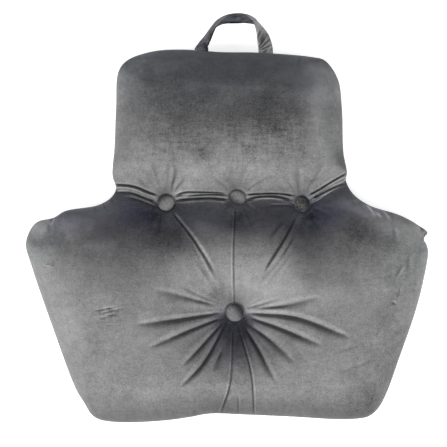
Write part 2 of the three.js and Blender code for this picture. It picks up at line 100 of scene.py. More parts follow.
# Folds that run out from the buttons: start, middle, end, depth, half-width on the left and on the
# right of that direction. An open fold keeps its depth to its end.
OPEN = True
FOLDS = (
    # Right of the lower button
    ((38, -191), (140, -199), (240, -238), 6.4, 3.6, 7.2),
    ((37, -197), (116, -223), (184, -252), 5.4, 3.6, 6.1),
    ((32, -207), (86, -244), (130, -286), 3.9, 6.0, 6.3),
    ((28, -211), (62, -262), (94, -324), 5.0, 3.0, 5.9),
    # The pleats below it
    ((20, -210), (48, -306), (54, -394), 2.6, 1.8, 1.2, OPEN),
    ((11, -222), (5, -326), (-14, -392), 3.0, 1.5, 1.6, OPEN),
    ((21, -345), (22, -366), (22, -392), 2.6, 1.8, 1.8, OPEN),
    # Left of it
    ((-1, -211), (-46, -285), (-92, -334), 5.0, 5.2, 3.6),
    ((-6, -255), (-17, -278), (-26, -302), 2.6, 5.0, 3.6),
    ((-5, -206), (-45, -248), (-88, -293), 4.2, 4.7, 4.4),
    ((-7, -199), (-73, -222), (-152, -256), 4.5, 5.2, 4.0),
    ((-9, -190), (-88, -200), (-178, -212), 5.8, 6.6, 3.4),
    ((-18, -177), (-85, -158), (-150, -142), 3.6, 6.4, 4.4),
    ((-4, -176), (-60, -152), (-98, -122), 1.8, 5.0, 4.0),
    # Right of it, higher up
    ((58, -182), (118, -174), (182, -158), 4.6, 4.4, 6.4),
    ((44, -187), (100, -187), (156, -194), 1.6, 3.4, 3.6),
    ((38, -180), (68, -171), (96, -161), 2.6, 3.0, 3.8),
    # From the waist buttons down to it
    ((-112, 12), (-64, -50), (-21, -128), 3.4, 1.4, 1.9),
    ((-104, 10), (-57, -48), (-16, -122), -0.8, 3.2, 3.2),
    ((-52, -60), (-30, -100), (-8, -142), 1.6, 4.0, 4.0),
    ((-62, -84), (-44, -112), (-20, -148), 1.2, 4.6, 5.0),
    ((143, 13), (107, -54), (72, -108), 5.0, 4.2, 2.6),
    ((138, -30), (107, -77), (60, -137), 1.8, 4.4, 4.0),
    ((126, -70), (104, -100), (78, -132), 1.4, 4.0, 4.0),
    ((122, 0), (100, -22), (82, -48), 1.6, 4.0, 4.0),
    ((16, 18), (11.5, -80), (14, -168), 3.7, 1.3, 1.6, OPEN),
    # From the waist buttons up over the head
    ((-142, 44), (-172, 74), (-206, 112), 2.0, 3.6, 3.6),
    ((-138, 47), (-158, 80), (-184, 120), 1.8, 4.0, 4.0),
    ((-130, 50), (-142, 86), (-156, 124), 1.8, 3.8, 3.8),
    ((-119, 50), (-117, 80), (-116, 108), 1.7, 4.6, 4.6),
    ((-111, 48), (-105, 78), (-103, 104), 2.6, 3.6, 3.6),
    ((-106, 45), (-96, 62), (-80, 82), 1.5, 4.2, 4.2),
    ((36, 50), (62, 70), (96, 86), 2.2, 4.0, 4.0),
    ((32, 54), (48, 78), (72, 104), 1.4, 4.4, 4.4),
    ((26, 57), (34, 88), (44, 118), 1.2, 4.4, 4.4),
    ((10, 56), (4, 84), (-2, 112), 2.0, 6.4, 6.4),
    ((4, 52), (-14, 70), (-34, 86), 1.4, 4.0, 4.0),
    ((138, 46), (122, 68), (104, 86), 1.0, 4.0, 4.0),
    ((142, 47), (140, 76), (139, 104), 2.4, 6.0, 6.0),
    ((156, 48), (176, 84), (194, 116), 2.8, 4.0, 4.0),
    ((166, 42), (190, 72), (214, 96), 1.2, 4.0, 4.0),
    # Below the outer waist buttons
    ((-134, 14), (-148, 0), (-164, -22), 2.2, 4.4, 4.4),
    ((-126, 12), (-134, -12), (-140, -40), 1.8, 4.0, 4.0),
    ((165, 18), (186, 10), (212, -4), 2.4, 3.8, 4.6),
    ((158, 12), (172, -8), (184, -30), 1.8, 4.0, 4.0),
)

# Sewn tucks of the waist, and with a depth below zero the rolls of cloth between them: route,
# depth, half-width
TUCKS = (
    # Left of the left button
    (((-232, 66), (-199, 65), (-180, 61), (-161, 53.5), (-136, 43)), 6.0, 1.35),
    (((-230, 61), (-205, 60), (-183, 56), (-164, 48), (-138, 38)), -3.0, 2.6),
    (((-226, 57), (-205, 57), (-185, 53), (-166, 46), (-142, 36)), 1.8, 1.2),
    (((-226, 50.5), (-205, 51), (-185, 48), (-166, 40.5), (-140, 31)), 4.6, 1.35),
    (((-204, 45), (-190, 44), (-172, 38), (-154, 31), (-140, 25)), -3.2, 2.4),
    (((-196, 40), (-171, 33), (-154, 26), (-140, 19)), 4.4, 1.8),
    # Between the left and the middle button
    (((-102, 45), (-82, 50.6), (-68, 51), (-32, 50), (1, 47.6)), 5.0, 1.35),
    (((-84, 41.5), (-51, 45), (-14, 45.6), (3, 44)), 3.0, 1.5),
    (((-103, 39), (-70, 42), (-32, 43), (2, 40.6)), -2.6, 2.2),
    (((-101, 35), (-69, 37.6), (-32, 38.8), (3, 35.8)), 5.2, 1.35),
    (((-102, 30), (-69, 33), (-32, 34.6), (4, 31)), -3.0, 2.4),
    # Between the middle and the right button
    (((36, 46), (65, 47), (86, 47.8), (106, 47), (134, 44)), 6.5, 1.35),
    (((37, 41), (60, 44.4), (86, 46), (108, 45), (132, 39)), -2.6, 2.0),
    (((38, 35.4), (56, 40.8), (79, 43), (103, 42), (130, 35)), 4.2, 1.35),
    (((38, 30), (58, 36), (80, 38.6), (104, 36), (130, 29)), -3.0, 2.4),
    (((84, 24), (113, 23.6), (131, 22)), 3.2, 2.0),
    # Right of the right button
    (((161, 44), (185, 57.6), (211, 73.4), (244, 92)), 6.5, 1.35),
    (((164, 41), (188, 54), (212, 70), (243, 86)), -1.8, 2.0),
    (((168, 40), (192, 54), (212, 66), (232, 77)), 2.2, 2.2),
    (((167, 37), (192, 51), (216, 62.4), (240, 72)), 3.6, 1.3),
    (((170, 35), (184, 42.4), (200, 50), (217, 57.6), (236, 65.4)), -3.4, 1.6),
)
# A tuck: points along it, half-widths to either side, steepness, and the inset where it is full
TUCK_STEPS = 24
TUCK_SIGHT = 6
TUCK_POWER = 1.25
TUCK_EDGE = 5.0
# It fades over this share of its length to this much at its ends, but not at an end near the rim
TUCK_ENDS = 0.1
TUCK_END_SHARE = 0.3
RIM_TUCK = 222.0

# A tuck's painted dark line: its half-width, and the depth from which it is fully dark
TUCK_LINE = 1.35
DEEP_TUCK = 6.0
# A fold with half-widths under this is sharp: the half-width of its painted dark line, and how dark
# it is
SHARP_HALF = 3.5
PLEAT_LINE = 0.9
PLEAT_SHADE = 0.62
# A wider fold's painted dark floor: its share of the half-width, the depth from which it is fully
# dark, and how fast it pales in shallower folds
FLOOR_SHADE = 0.8
DEEP_FOLD = 5.0
FLOOR_POWER = 2.2
# The least painted shade that a line still gives, and the thin painted highlight beside it: how far
# off, how wide, how much lighter
LINE_EDGE = 0.08
GLINT_PLACE = 2.8
GLINT_HALF = 1.2
GLINT = 0.34
# Painted light on a sharp ridge's crest, less towards its end, and on a roll where no line darkens
# it.
RIDGE_LIGHT = 3.2
RIDGE_FALL = 0.75
ROLL_LIGHT = 0.35
UNLINED = 0.3

# Short puckers and dents near the seam: start, end, depth, half-width
PUCKERS = (
    # Left shoulder
    ((-354, 5), (-349, -13), 6.5, 2.6), ((-343, -1), (-350, -16), -1.4, 2.4),
    ((-358, -6), (-355, -36), 2.4, 4.6), ((-261, 28), (-266, 8), 3.4, 2.8),
    ((-249, 34), (-241, 12), 3.2, 3.0), ((-233, 40), (-222, 26), 2.6, 2.6),
    # Left side
    ((-399, -62), (-388, -82), 2.6, 3.0), ((-364, -90), (-338, -96), 1.6, 3.0),
    ((-262, -183), (-212, -175), 0.9, 2.4), ((-248, -188), (-198, -177), 1.0, 2.4),
    ((-252, -199), (-214, -187), 1.0, 2.4),
    # Right shoulder
    ((276, 28), (297, 0), -1.4, 2.0), ((284, 28), (303, 3), 2.6, 1.8),
    ((292, 14), (308, -3), -1.2, 2.0), ((308, 17), (326, -8), -1.4, 2.0),
    ((318, 16), (336, -4), 4.4, 3.2), ((328, -14), (334, -48), 2.0, 4.0),
    # Beside the right button, and the right corner
    ((155, 45), (166, 32), -1.4, 1.9), ((402, -46), (384, -44), 3.4, 3.0),
    # Right side
    ((347, -90), (330, -118), 1.9, 1.9), ((357, -76), (358, -108), 2.0, 4.4),
    ((372, -128), (367, -146), 2.2, 3.0), ((341, -130), (334, -156), 1.8, 3.4),
    ((322, -164), (330, -170), 3.0, 2.2),
    # Bottom and top
    ((-72, -398), (-66, -378), 2.0, 4.0), ((150, -399), (146, -384), 1.6, 4.0),
    ((262, -246), (206, -264), 1.0, 4.0), ((284, -278), (218, -302), 0.9, 4.0),
    ((-168, 326), (-160, 304), 1.6, 4.0), ((150, 322), (144, 302), 1.6, 4.0),
)
PUCKER_STEPS = 4

# The cloth lies this much over a button's foot, and rises within this reach of its rim
SEAT_PROUD = 1.0
SEAT_REACH = 7.0
# Points along a fold, and half-widths to either side
FOLD_STEPS = 14
FOLD_SIGHT = 4
# A fold is narrow at its ends and widest past its middle
FOLD_WAIST = 0.5
FOLD_BELLY = 0.65
FOLD_SPREAD = 2.1
# The trough's form, the low ridge beside it, how a fold's depth rises and fades along it, and the
# inset where it is full
TROUGH_POWER = 1.6
RIDGE_SHARE = 0.07
RIDGE_PLACE = 2.1
FOLD_RISE = 36.0
SHARP_RISE = 8.0
FOLD_FADE = 5.0
FOLD_EDGE = 20.0
# The tables give each soft fold's dark side, which lies this share of its half-width from its floor
DARK_SIDE = 0.6
LIT_TURN = 3
# Which way a fold's dark wall faces, and gets painted shade, by Y: its share outwards from the
# middle, and towards the head
DARK_MIDDLE = 20.0
DARK_TURN = 12.0
DARK_WAY = ((-140, 0.6, 0.8), (-110, 0.95, -0.3), (5, 0.95, -0.3), (28, 0.4, 0.8), (75, 0.4, 0.8),
            (95, 0.8, 0.35))

# Uneven filling and seam puckers: wavelength, height, seed
LUMPS = ((130.0, 2.2, 11), (62.0, 1.0, 12), (30.0, 0.35, 13), (13.0, 0.12, 14))
LUMP_EDGE = 40
SEAM_PUCKERS = ((34.0, 1.6, 21), (15.0, 0.8, 22))
BACK_SEED = 40
PUCKER_EDGE = 5
PUCKER_STRETCH = 4
PUCKER_REACH = 16.0
# Fine creases round each button: how many, how far they keep their line, how high and far they go
GATHER_SEED = 51
GATHER_EDGE = 8
GATHER_COUNT = 44
GATHER_LENGTH = 34.0
GATHER_HEIGHT = 1.5
GATHER_REACH = 34.0

# Spacing of the points on the face: close along the waist, round the lower button and its pleats
COLUMNS = (-412, ((-372, 3.8), (-112, 3.2), (75, 1.7), (202, 2.7), (340, 2.7), (412, 3.4)))
ROWS = (-416, ((-340, 2.6), (-140, 1.9), (12, 2.5), (96, 1.2), (344, 4.0)))
GRID_CLEARANCE = 1.6
# Insets of the rings and the free points, how near the rim and each other free points may come, how
# many are compared, and the distance at which two points are one
FACE_RINGS = (0.6, 1.5, 3.0)
FACE_SCATTER = (4.6,)
BACK_RINGS = (0.6, 1.5, 3.0)
BACK_SCATTER = (6.0, 10.0, 16.0, 23.0, 30.0, 38.0, 45.0)
SCATTER_SHARE = 0.88
SCATTER_GAP = 1.5
SCATTER_WINDOW = 8
PLAN_SNAP = 1e-7
KEEP_INSIDE = 1
MARCH_STEP = 1.0
MARCH_SMOOTHING = 0.25

# The carry loop: x, y, z, turn in degrees, cup
STRAP_WIDTH = 29.0
STRAP_THICKNESS = 6.0
STRAP_STATIONS = (
    (-52, 332, 48, -6, 0), (-50, 338, 48, -20, 1), (-47, 346, 48, -48, 2), (-36, 362, 47, -63, 4),
    (-25, 378, 46, -80, 5), (-11, 390, 45, -95, 7), (6, 396.5, 44, -115, 7),
    (23, 398.4, 43, -122, 7), (37, 397, 43, -114, 7), (49, 392, 44, -96, 7),
    (60, 383, 45, -72, 5), (69, 369, 47, -42, 3), (74, 354, 48, -16, 1), (77, 338, 48, -4, 0),
    (77.5, 327, 48, 0, 0),
)

# The photograph's framing: its scale and the pixel that lies over the origin
FRAME_PIXELS = 447
MM_PER_PIXEL = 2.0
ORIGIN_PIXEL = (227.0, 217.5)
CAMERA_HEIGHT = 2.6
SENSOR_MM = 36.0


# Curves and distances in the plan view

def spline(points, closed=False, steps=FOLD_STEPS, step_length=None):
    """A centripetal Catmull-Rom curve through the points, as an array of points."""
    knots = [np.array(p, float) for p in points]
    count = len(knots)
    spans = count if closed else count - 1
    result = []
    for i in range(spans):
        if closed:
            p0, p1, p2, p3 = (knots[(i + k) % count] for k in (-1, 0, 1, 2))
        else:
            p1, p2 = knots[i], knots[i + 1]
            p0 = knots[i - 1] if i > 0 else 2 * p1 - p2
            p3 = knots[i + 2] if i + 2 < count else 2 * p2 - p1
        gaps = [max(np.linalg.norm(b - a), TINY) ** 0.5 for a, b in ((p0, p1), (p1, p2), (p2, p3))]
        before = (p1 - p0) / gaps[0] - (p2 - p0) / (gaps[0] + gaps[1]) + (p2 - p1) / gaps[1]
        after = (p2 - p1) / gaps[1] - (p3 - p1) / (gaps[1] + gaps[2]) + (p3 - p2) / gaps[2]
        m1, m2 = before * gaps[1], after * gaps[1]
        if step_length:
            parts = max(1, round(np.linalg.norm(p2 - p1) / step_length))
        else:
            parts = max(1, round(steps / spans))
        for k in range(parts):
            t = k / parts
            result.append((2 * t**3 - 3 * t**2 + 1) * p1 + (t**3 - 2 * t**2 + t) * m1
                          + (3 * t**2 - 2 * t**3) * p2 + (t**3 - t**2) * m2)
    if not closed:
        result.append(knots[-1])
    return np.array(result)


def nearest_on_line(x, y, line):
    """Distance to the line, place along it from 0 to 1, and the side: +1 is left of its direction."""
    distance = np.full(x.shape, np.inf)
    along = np.zeros(x.shape)
    side = np.ones(x.shape)
    spans = len(line) - 1
    for i in range(spans):
        ax, ay = line[i]
        dx, dy = line[i + 1] - line[i]
        share = np.clip(((x - ax) * dx + (y - ay) * dy) / (dx * dx + dy * dy), 0, 1)
        gx, gy = x - ax - share * dx, y - ay - share * dy
        gap = np.hypot(gx, gy)
        closer = gap < distance
        distance[closer] = gap[closer]
        along[closer] = (i + share[closer]) / spans
        side[closer] = np.where(dx * gy - dy * gx >= 0, 1, -1)[closer]
    return distance, along, side


def left_of(along):
    """Unit vectors to the left of each direction."""
    along = along / np.linalg.norm(along, axis=1)[:, None]
    return np.stack([-along[:, 1], along[:, 0]], axis=1)


def spans_of(line):
    """The lengths of the line's spans."""
    return np.linalg.norm(np.diff(line, axis=0), axis=1)


def dark_way(x, y):
    places, outward, headward = np.array(DARK_WAY).T
    side = np.tanh((x - DARK_MIDDLE) / DARK_TURN)
    return np.stack([np.interp(y, places, outward) * side, np.interp(y, places, headward)], axis=1)


def lit_share(line):
    """For each point of the line, from -1 to 1: how far the lit wall lies on its left."""
    return (left_of(np.gradient(line, axis=0)) * dark_way(*line.T)).sum(axis=1)


def near_points(x, y, line, reach):
    """Which points lie within reach of the line's own box."""
    low, high = line.min(axis=0) - reach, line.max(axis=0) + reach
    return (x > low[0]) & (x < high[0]) & (y > low[1]) & (y < high[1])


def smooth(share):
    return share * share * (3 - 2 * share)


def bell(offset):
    return np.exp(-offset ** 2)


def value_noise(u, v, wavelength, seed):
    """Smooth noise from -1 to 1 with the given wavelength, the same on every run."""
    table = np.random.default_rng(seed).uniform(-1, 1, (NOISE_CELLS, NOISE_CELLS))
    u, v = u / wavelength, v / wavelength
    i, j = np.floor(u).astype(int), np.floor(v).astype(int)
    s, t = smooth(u - i), smooth(v - j)
    i, j = ([place % NOISE_CELLS, (place + 1) % NOISE_CELLS] for place in (i, j))
    low, high = (table[i[0], row] * (1 - s) + table[i[1], row] * s for row in j)
    return low * (1 - t) + high * t


# The filled cover's height over the plan

def side_lines():
    """Each side of the outline as its own curve, in step with the closed curve through all points."""
    knots = [EAR_POINTS.get(p, p) for points in SIDES.values() for p in points]
    lines = []
    start = 0
    for points in SIDES.values():
        stretch = [knots[(start + k) % len(knots)] for k in range(-1, len(points) + 2)]
        whole = spline(stretch, step_length=SIDE_STEP)
        first, last = (np.linalg.norm(whole - stretch[k], axis=1).argmin() for k in (1, -2))
        lines.append(whole[first:last + 1])
        start += len(points)
    return lines


class Plan:
    """The outline and the lines of the cushion, ready for measuring."""

    rim = spline([p for points in SIDES.values() for p in points], closed=True,
                 step_length=RIM_STEP)
    sides = side_lines()
    waist = spline(WAIST_LINE, steps=WAIST_STEPS)


def rounded_rise(inset, reach, power):
    share = np.minimum(inset / reach, 1)
    return (1 - (1 - share) ** 2) ** power


def inset_and_rim_place(x, y):
    """The blended distance in from the rim, the plain one, and the place along the rim in mm."""
    total = np.zeros(x.shape)
    plain = np.full(x.shape, np.inf)
    place = np.zeros(x.shape)
    passed = 0.0
    for line in Plan.sides:
        distance, along, _ = nearest_on_line(x, y, line)
        length = spans_of(line).sum()
        closer = distance < plain
        plain[closer] = distance[closer]
        place[closer] = passed + along[closer] * length
        passed += length
        total += np.maximum(distance, NEAREST) ** -SIDE_BLEND
    return total ** (-1 / SIDE_BLEND), plain, place


def sunk_share(pulls, gap):
    return sum(share * np.exp(-gap / reach) for share, reach in pulls)


def button_place(node):
    """Centre, radius, foot and thickness of a button's solid, in millimetres."""
    low, high = (np.array(corner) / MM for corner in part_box(node))
    centre = (low + high) / 2
    return centre[0], centre[1], (high[0] - low[0]) / 2, low[2], high[2] - low[2]


def dish(gap):
    share, reach = LOWER_DISH
    return share * (1 - np.minimum(gap / reach, 1)) ** 2


def button_gap(node, x, y):
    bx, by, radius, _, _ = button_place(node)
    return np.maximum(np.hypot(x - bx, y - by) - radius, 0)


def crown_left(x, y):
    waist_gap, _, _ = nearest_on_line(x, y, Plan.waist)
    gap = button_gap("button_lower", x, y)
    left = 1 - sunk_share(LOWER_BUTTON_PULLS, gap) - dish(gap)
    tuck_gap = waist_gap
    for node in WAIST_BUTTONS:
        gap = button_gap(node, x, y)
        tuck_gap = np.minimum(tuck_gap, gap)
        left = left * (1 - sunk_share(WAIST_BUTTON_PULLS, gap))
    return left * (1 - sunk_share(WAIST_PULLS, waist_gap) - sunk_share(WAIST_TUCK_PULLS, tuck_gap))


def trough(across):
    return np.exp(-across ** TROUGH_POWER) - RIDGE_SHARE * bell(across - RIDGE_PLACE)


def glint(across):
    return GLINT * bell((across - GLINT_PLACE) / GLINT_HALF)


def paint_line_shade(crease_shading, near, share):
    """Paints shade on the points of a line, and leaves the painted lit edges beside it."""
    crease_shading[near] = np.where(share > LINE_EDGE, np.maximum(crease_shading[near], share), crease_shading[near])


def add_troughs(x, y, rows, relief, crease_shading):
    """Folds and puckers: soft troughs with a low ridge on either side."""
    for line, depth, half_left, half_right, is_open in rows:
        near = near_points(x, y, line, FOLD_SIGHT * max(half_left, half_right))
        distance, along, side = nearest_on_line(x[near], y[near], line)
        half = np.where(side > 0, half_left, half_right)
        sharp = max(half_left, half_right) < SHARP_HALF
        length = spans_of(line).sum()
        share = np.minimum(along * length / min(SHARP_RISE if sharp else FOLD_RISE, length / 3), 1)
        if not is_open:
            half = half * (FOLD_WAIST + FOLD_BELLY * np.sin(math.pi * along ** FOLD_SPREAD))
            share = share * (1 - along ** FOLD_FADE)
        relief[near] -= depth * share * trough(distance / half)
        # Painted shade along a sharp line or on a wide fold's floor, painted light beside the line or
        # on a sharp ridge
        lit = lit_share(line)[len(line) // 2]
        if sharp and depth < 0:
            crease_shading[near] -= RIDGE_LIGHT * (1 - RIDGE_FALL * along) * share * bell(distance / half)
        elif sharp:
            paint_line_shade(crease_shading, near, PLEAT_SHADE * share * bell(distance / PLEAT_LINE))
            crease_shading[near] -= glint(distance * side * np.sign(lit)) * share
        else:
            darkest = (1 - min(abs(lit), 1)) * min(depth / DEEP_FOLD, 1) ** FLOOR_POWER
            paint_line_shade(crease_shading, near, darkest * share * bell(distance / half / FLOOR_SHADE))


def add_tucks(x, y, relief, crease_shading):
    """Sharp sewn channels, with the cloth rolled up between them."""
    for route, depth, half in TUCKS:
        line = spline(route, steps=TUCK_STEPS)
        near = near_points(x, y, line, TUCK_SIGHT * half)
        distance, along, side = nearest_on_line(x[near], y[near], line)
        to_end = np.minimum(along if abs(route[0][0]) < RIM_TUCK else 1,
                            1 - along if abs(route[-1][0]) < RIM_TUCK else 1)
        ends = np.clip(to_end / TUCK_ENDS, TUCK_END_SHARE, 1)
        share = ends * np.exp(-(distance / half) ** (TUCK_POWER if depth > 0 else 2))
        relief[near] -= depth * share
        # Painted light on a roll, or painted shade along a tuck's line with a painted highlight
        # beside it
        light = ROLL_LIGHT * share
        if depth > 0:
            paint_line_shade(crease_shading, near, ends * bell(distance / TUCK_LINE) * min(depth / DEEP_TUCK, 1))
            light = ends * glint(distance * side)
        crease_shading[near] -= light * (crease_shading[near] < UNLINED)


def towards_light(line, left, right):
    """The line moved from a fold's dark side to its floor."""
    lit = lit_share(line)
    shift = DARK_SIDE * np.tanh(LIT_TURN * lit) * np.where(lit > 0, right, left)
    return line + shift[:, None] * left_of(np.gradient(line, axis=0))


def fold_rows():
    for start, middle, end, depth, left, right, *is_open in FOLDS:
        line = spline((start, middle, end))
        if max(left, right) > SHARP_HALF:
            line = towards_light(line, left, right)
        yield line, depth, left, right, is_open


def pucker_rows():
    for start, end, depth, half in PUCKERS:
        yield spline((start, end), steps=PUCKER_STEPS), depth, half, half, False


def gathers(x, y):
    """Fine creases that run out from each button where its thread draws the cloth together."""
    height = np.zeros(x.shape)
    for number, node in enumerate(BUTTON_NODES):
        bx, by, _, _, _ = button_place(node)
        gap = button_gap(node, x, y)
        turn = np.arctan2(y - by, x - bx) * GATHER_COUNT / (2 * math.pi)
        ripple = value_noise(turn, gap / GATHER_LENGTH, 1.0, GATHER_SEED + number)
        share = np.minimum(gap / GATHER_EDGE, 1) * np.exp(-gap / GATHER_REACH)
        height += GATHER_HEIGHT * share * ripple
    return height


def seam_puckers(inset, place, more_seed=0):
    """Small puckers that die away from the seam."""
    window = np.minimum(inset / PUCKER_EDGE, 1) * np.exp(-inset / PUCKER_REACH)
    across = inset / PUCKER_STRETCH
    return sum(size * window * value_noise(place, across, wavelength, seed + more_seed)
               for wavelength, size, seed in SEAM_PUCKERS)


def lumps(x, y, inset, place):
    filling = sum(size * value_noise(x, y, wavelength, seed) for wavelength, size, seed in LUMPS)
    return filling * np.minimum(inset / LUMP_EDGE, 1) + gathers(x, y) + seam_puckers(inset, place)


def level_at_buttons(x, y, height):
    """The cloth lies level under each button and rises from just outside its rim."""
    for node in BUTTON_NODES:
        seat = button_place(node)[3] + SEAT_PROUD
        share = smooth(np.minimum(button_gap(node, x, y) / SEAT_REACH, 1))
        height = seat + (height - seat) * share
    return height


def face_height(x, y):
    """Height of the face, its painted shade (below zero, painted light) in creases, and its height
    without the folds.
    """
    inset, _, place = inset_and_rim_place(x, y)
    crown = CROWN + CROWN_GAIN * rounded_rise(inset, CROWN_REACH, 1)
    crown = crown - HEAD_TAPER * np.maximum(y - HEAD_START, 0)
    relief, near_rim, crease_shading = np.zeros((3, *x.shape))
    add_troughs(x, y, fold_rows(), relief, crease_shading)
    add_troughs(x, y, pucker_rows(), near_rim, crease_shading)
    add_tucks(x, y, near_rim, crease_shading)
    relief = relief * np.minimum(inset / FOLD_EDGE, 1) + near_rim * np.minimum(inset / TUCK_EDGE, 1)
    calm = SEAM_HEIGHT + crown * rounded_rise(inset, FACE_ROUND, FACE_POWER) * crown_left(x, y)
    height = level_at_buttons(x, y, calm + relief + lumps(x, y, inset, place))
    return height, crease_shading, calm


def back_height(inset, place):
    rise = rounded_rise(inset, BACK_ROUND, BACK_POWER)
    return SEAM_HEIGHT * (1 - rise) + seam_puckers(inset, place, BACK_SEED)


# The filled cover's mesh: rings inside the rim, a graded grid, and a band that joins the two

def march_inward(ring, depth):
    steps = max(1, math.ceil(depth / MARCH_STEP))
    for _ in range(steps):
        behind, ahead = np.roll(ring, 1, axis=0), np.roll(ring, -1, axis=0)
        ring = ring + left_of(ahead - behind) * depth / steps
        middle = (np.roll(ring, -1, axis=0) + np.roll(ring, 1, axis=0)) / 2
        ring += MARCH_SMOOTHING * (middle - ring)
    return ring


def nested_rings(insets):
    rings = [Plan.rim]
    for previous, inset in zip((0, *insets), insets):
        rings.append(march_inward(rings[-1], inset - previous))
    return rings[1:]


def scattered(ring, start, insets):
    """Points of the rings further in, without those that bunch up behind a notch."""
    kept = []
    for previous, inset in zip((start, *insets), insets):
        ring = march_inward(ring, inset - previous)
        for point, distance in zip(ring, inset_and_rim_place(*ring.T)[1]):
            ring_back = kept[-len(ring) - SCATTER_WINDOW:SCATTER_WINDOW - len(ring)]
            near = kept[-SCATTER_WINDOW:] + ring_back
            apart = all(np.hypot(*(point - other)) > SCATTER_GAP for other in near)
            if distance > SCATTER_SHARE * inset and apart:
                kept.append(point)
    return np.array(kept)


def stations(table):
    start, bands = table
    values = [np.array([start], float)]
    for end, step in bands:
        count = round((end - values[-1][-1]) / step)
        values.append(np.linspace(values[-1][-1], end, count + 1)[1:])
    return np.concatenate(values)


def inside_loop(x, y, loop):
    inside = np.zeros(x.shape, bool)
    for (ax, ay), (bx, by) in zip(loop, np.roll(loop, -1, axis=0)):
        if ay == by:
            continue
        crosses = (ay > y) != (by > y)
        inside ^= crosses & (x < ax + (bx - ax) * (y - ay) / (by - ay))
    return inside


def loop_of_cells(quads):
    """The outer edge of a patch of quads as one loop of point numbers."""
    edges = np.concatenate([quads[:, [i, (i + 1) % 4]] for i in range(4)])
    known = {(a, b) for a, b in edges.tolist()}
    following = {a: b for a, b in edges.tolist() if (b, a) not in known}
    first = next(iter(following))
    loop = [first]
    while following[loop[-1]] != first:
        loop.append(following[loop[-1]])
    if len(loop) != len(following):
        raise ValueError("the face grid has more than one edge")
    return loop


def values_of(items, key, width=3, kind=float):
    """One property of a mesh's points or edges, as rows of an array."""
    values = np.empty(width * len(items), kind)
    items.foreach_get(key, values)
    return values.reshape(-1, width)


def store(mesh, name, kind, values):
    """Keeps a value at each point for the material to read."""
    attribute = mesh.attributes.new(name, kind, "POINT")
    attribute.data.foreach_set("value" if kind == "FLOAT" else "vector", values)


def add_object(name, data):
    thing = bpy.data.objects.new(name, data)
    bpy.context.scene.collection.objects.link(thing)
    return thing


class MeshParts:
    """Points and faces as they are gathered for one mesh. Each point also has its painted shade in
    creases and folds (below zero, painted light) and where it would lie without the folds."""

    def __init__(self):
        self.points = []
        self.calm_points = []
        self.crease_shadings = []
        self.faces = []
        self.count = 0

    def add(self, x, y, z, crease_shading=None, calm=None):
        self.points.append(np.stack([x, y, z], axis=1))
        self.calm_points.append(np.stack([x, y, z if calm is None else calm], axis=1))
        self.crease_shadings.append(np.zeros(len(x)) if crease_shading is None else crease_shading)
        self.count += len(x)
        return list(range(self.count - len(x), self.count))

    def strip(self, outer, inner, up):
        for i, a in enumerate(outer):
            j = (i + 1) % len(outer)
            quad = (a, outer[j], inner[j], inner[i])
            self.faces.append(quad if up else quad[::-1])

    def patch(self, plan, numbers, loops, hole=None, up=True):
        """Fills between loops of plan points with triangles."""
        edges = [(loop[i], loop[(i + 1) % len(loop)]) for loop in loops for i in range(len(loop))]
        points, _, faces, originals, _, _ = delaunay_2d_cdt(
            [Vector(p) for p in plan], edges, [loops[0]], KEEP_INSIDE, PLAN_SNAP)
        centres = np.array([np.mean([points[i] for i in face], axis=0) for face in faces])
        kept = np.ones(len(faces), bool)
        if hole is not None:
            kept = ~inside_loop(centres[:, 0], centres[:, 1], hole)
        for face, keep in zip(faces, kept):
            if keep:
                corners = tuple(numbers[originals[i][0]] for i in face)
                self.faces.append(corners if up else corners[::-1])

    def mesh(self, name, points):
        mesh = bpy.data.meshes.new(name)
        mesh.from_pydata((np.concatenate(points) * MM).tolist(), [], self.faces)
        return mesh

    def build(self, name):
        calm = self.mesh(f"{name}_calm", self.calm_points)
        calm_normals = values_of(calm.vertex_normals, "vector")
        bpy.data.meshes.remove(calm)
        mesh = self.mesh(name, self.points)
        # For the painted shade and light on fold walls: how far the folds turn each normal towards
        # the painted dark way
        turned = (values_of(mesh.vertex_normals, "vector") - calm_normals)[:, :2]
        turned *= dark_way(*np.concatenate(self.points)[:, :2].T)
        store(mesh, "crease_shading", "FLOAT", np.concatenate(self.crease_shadings))
        store(mesh, "wall", "FLOAT", turned.sum(axis=1))
        store(mesh, "calm_normal", "FLOAT_VECTOR", calm_normals.ravel())
        mesh.polygons.foreach_set("use_smooth", [True] * len(mesh.polygons))
        return add_object(name, mesh)


def cell_corners(grid):
    return grid[:-1, :-1], grid[:-1, 1:], grid[1:, 1:], grid[1:, :-1]


def grid_quads(margin):
    """The graded grid's points inside the margin, and the quads between them."""
    x, y = np.meshgrid(stations(COLUMNS), stations(ROWS))
    inside = inside_loop(x, y, Plan.rim)
    inside[inside] = inset_and_rim_place(x[inside], y[inside])[1] > margin
    cells = np.all(cell_corners(inside), axis=0)
    numbers = np.arange(x.size).reshape(x.shape)
    quads = np.stack([corner[cells] for corner in cell_corners(numbers)], axis=1)
    used, compact = np.unique(quads, return_inverse=True)
    return x.ravel()[used], y.ravel()[used], compact.reshape(quads.shape)


# The pressed filling: a coarse copy of the cover swells as cloth, and hands its movement on

PRESS_VOXEL = 6.0
PRESS_FRAMES = 20
PRESSURE = 4.0
# How much of the movement is handed on, and at most how far a point moves
PRESS_SHARE = 0.42
PRESS_CAP = 7.0
# What is pinned: this near to the waist and the buttons, and this low down at the back
PRESS_HOLD = 12.0
PRESS_BACK = 4.0
# The movement is smaller near the rim and the buttons
PRESS_RIM = 26.0
PRESS_RIM_SHARE = 0.3
PRESS_BUTTON = 26.0
# How many near points hand on their movement, what is added to their distances, and how often the
# movement is evened out
PRESS_NEIGHBOURS = 4
PRESS_NEAREST = 0.5
PRESS_EVENING = 16


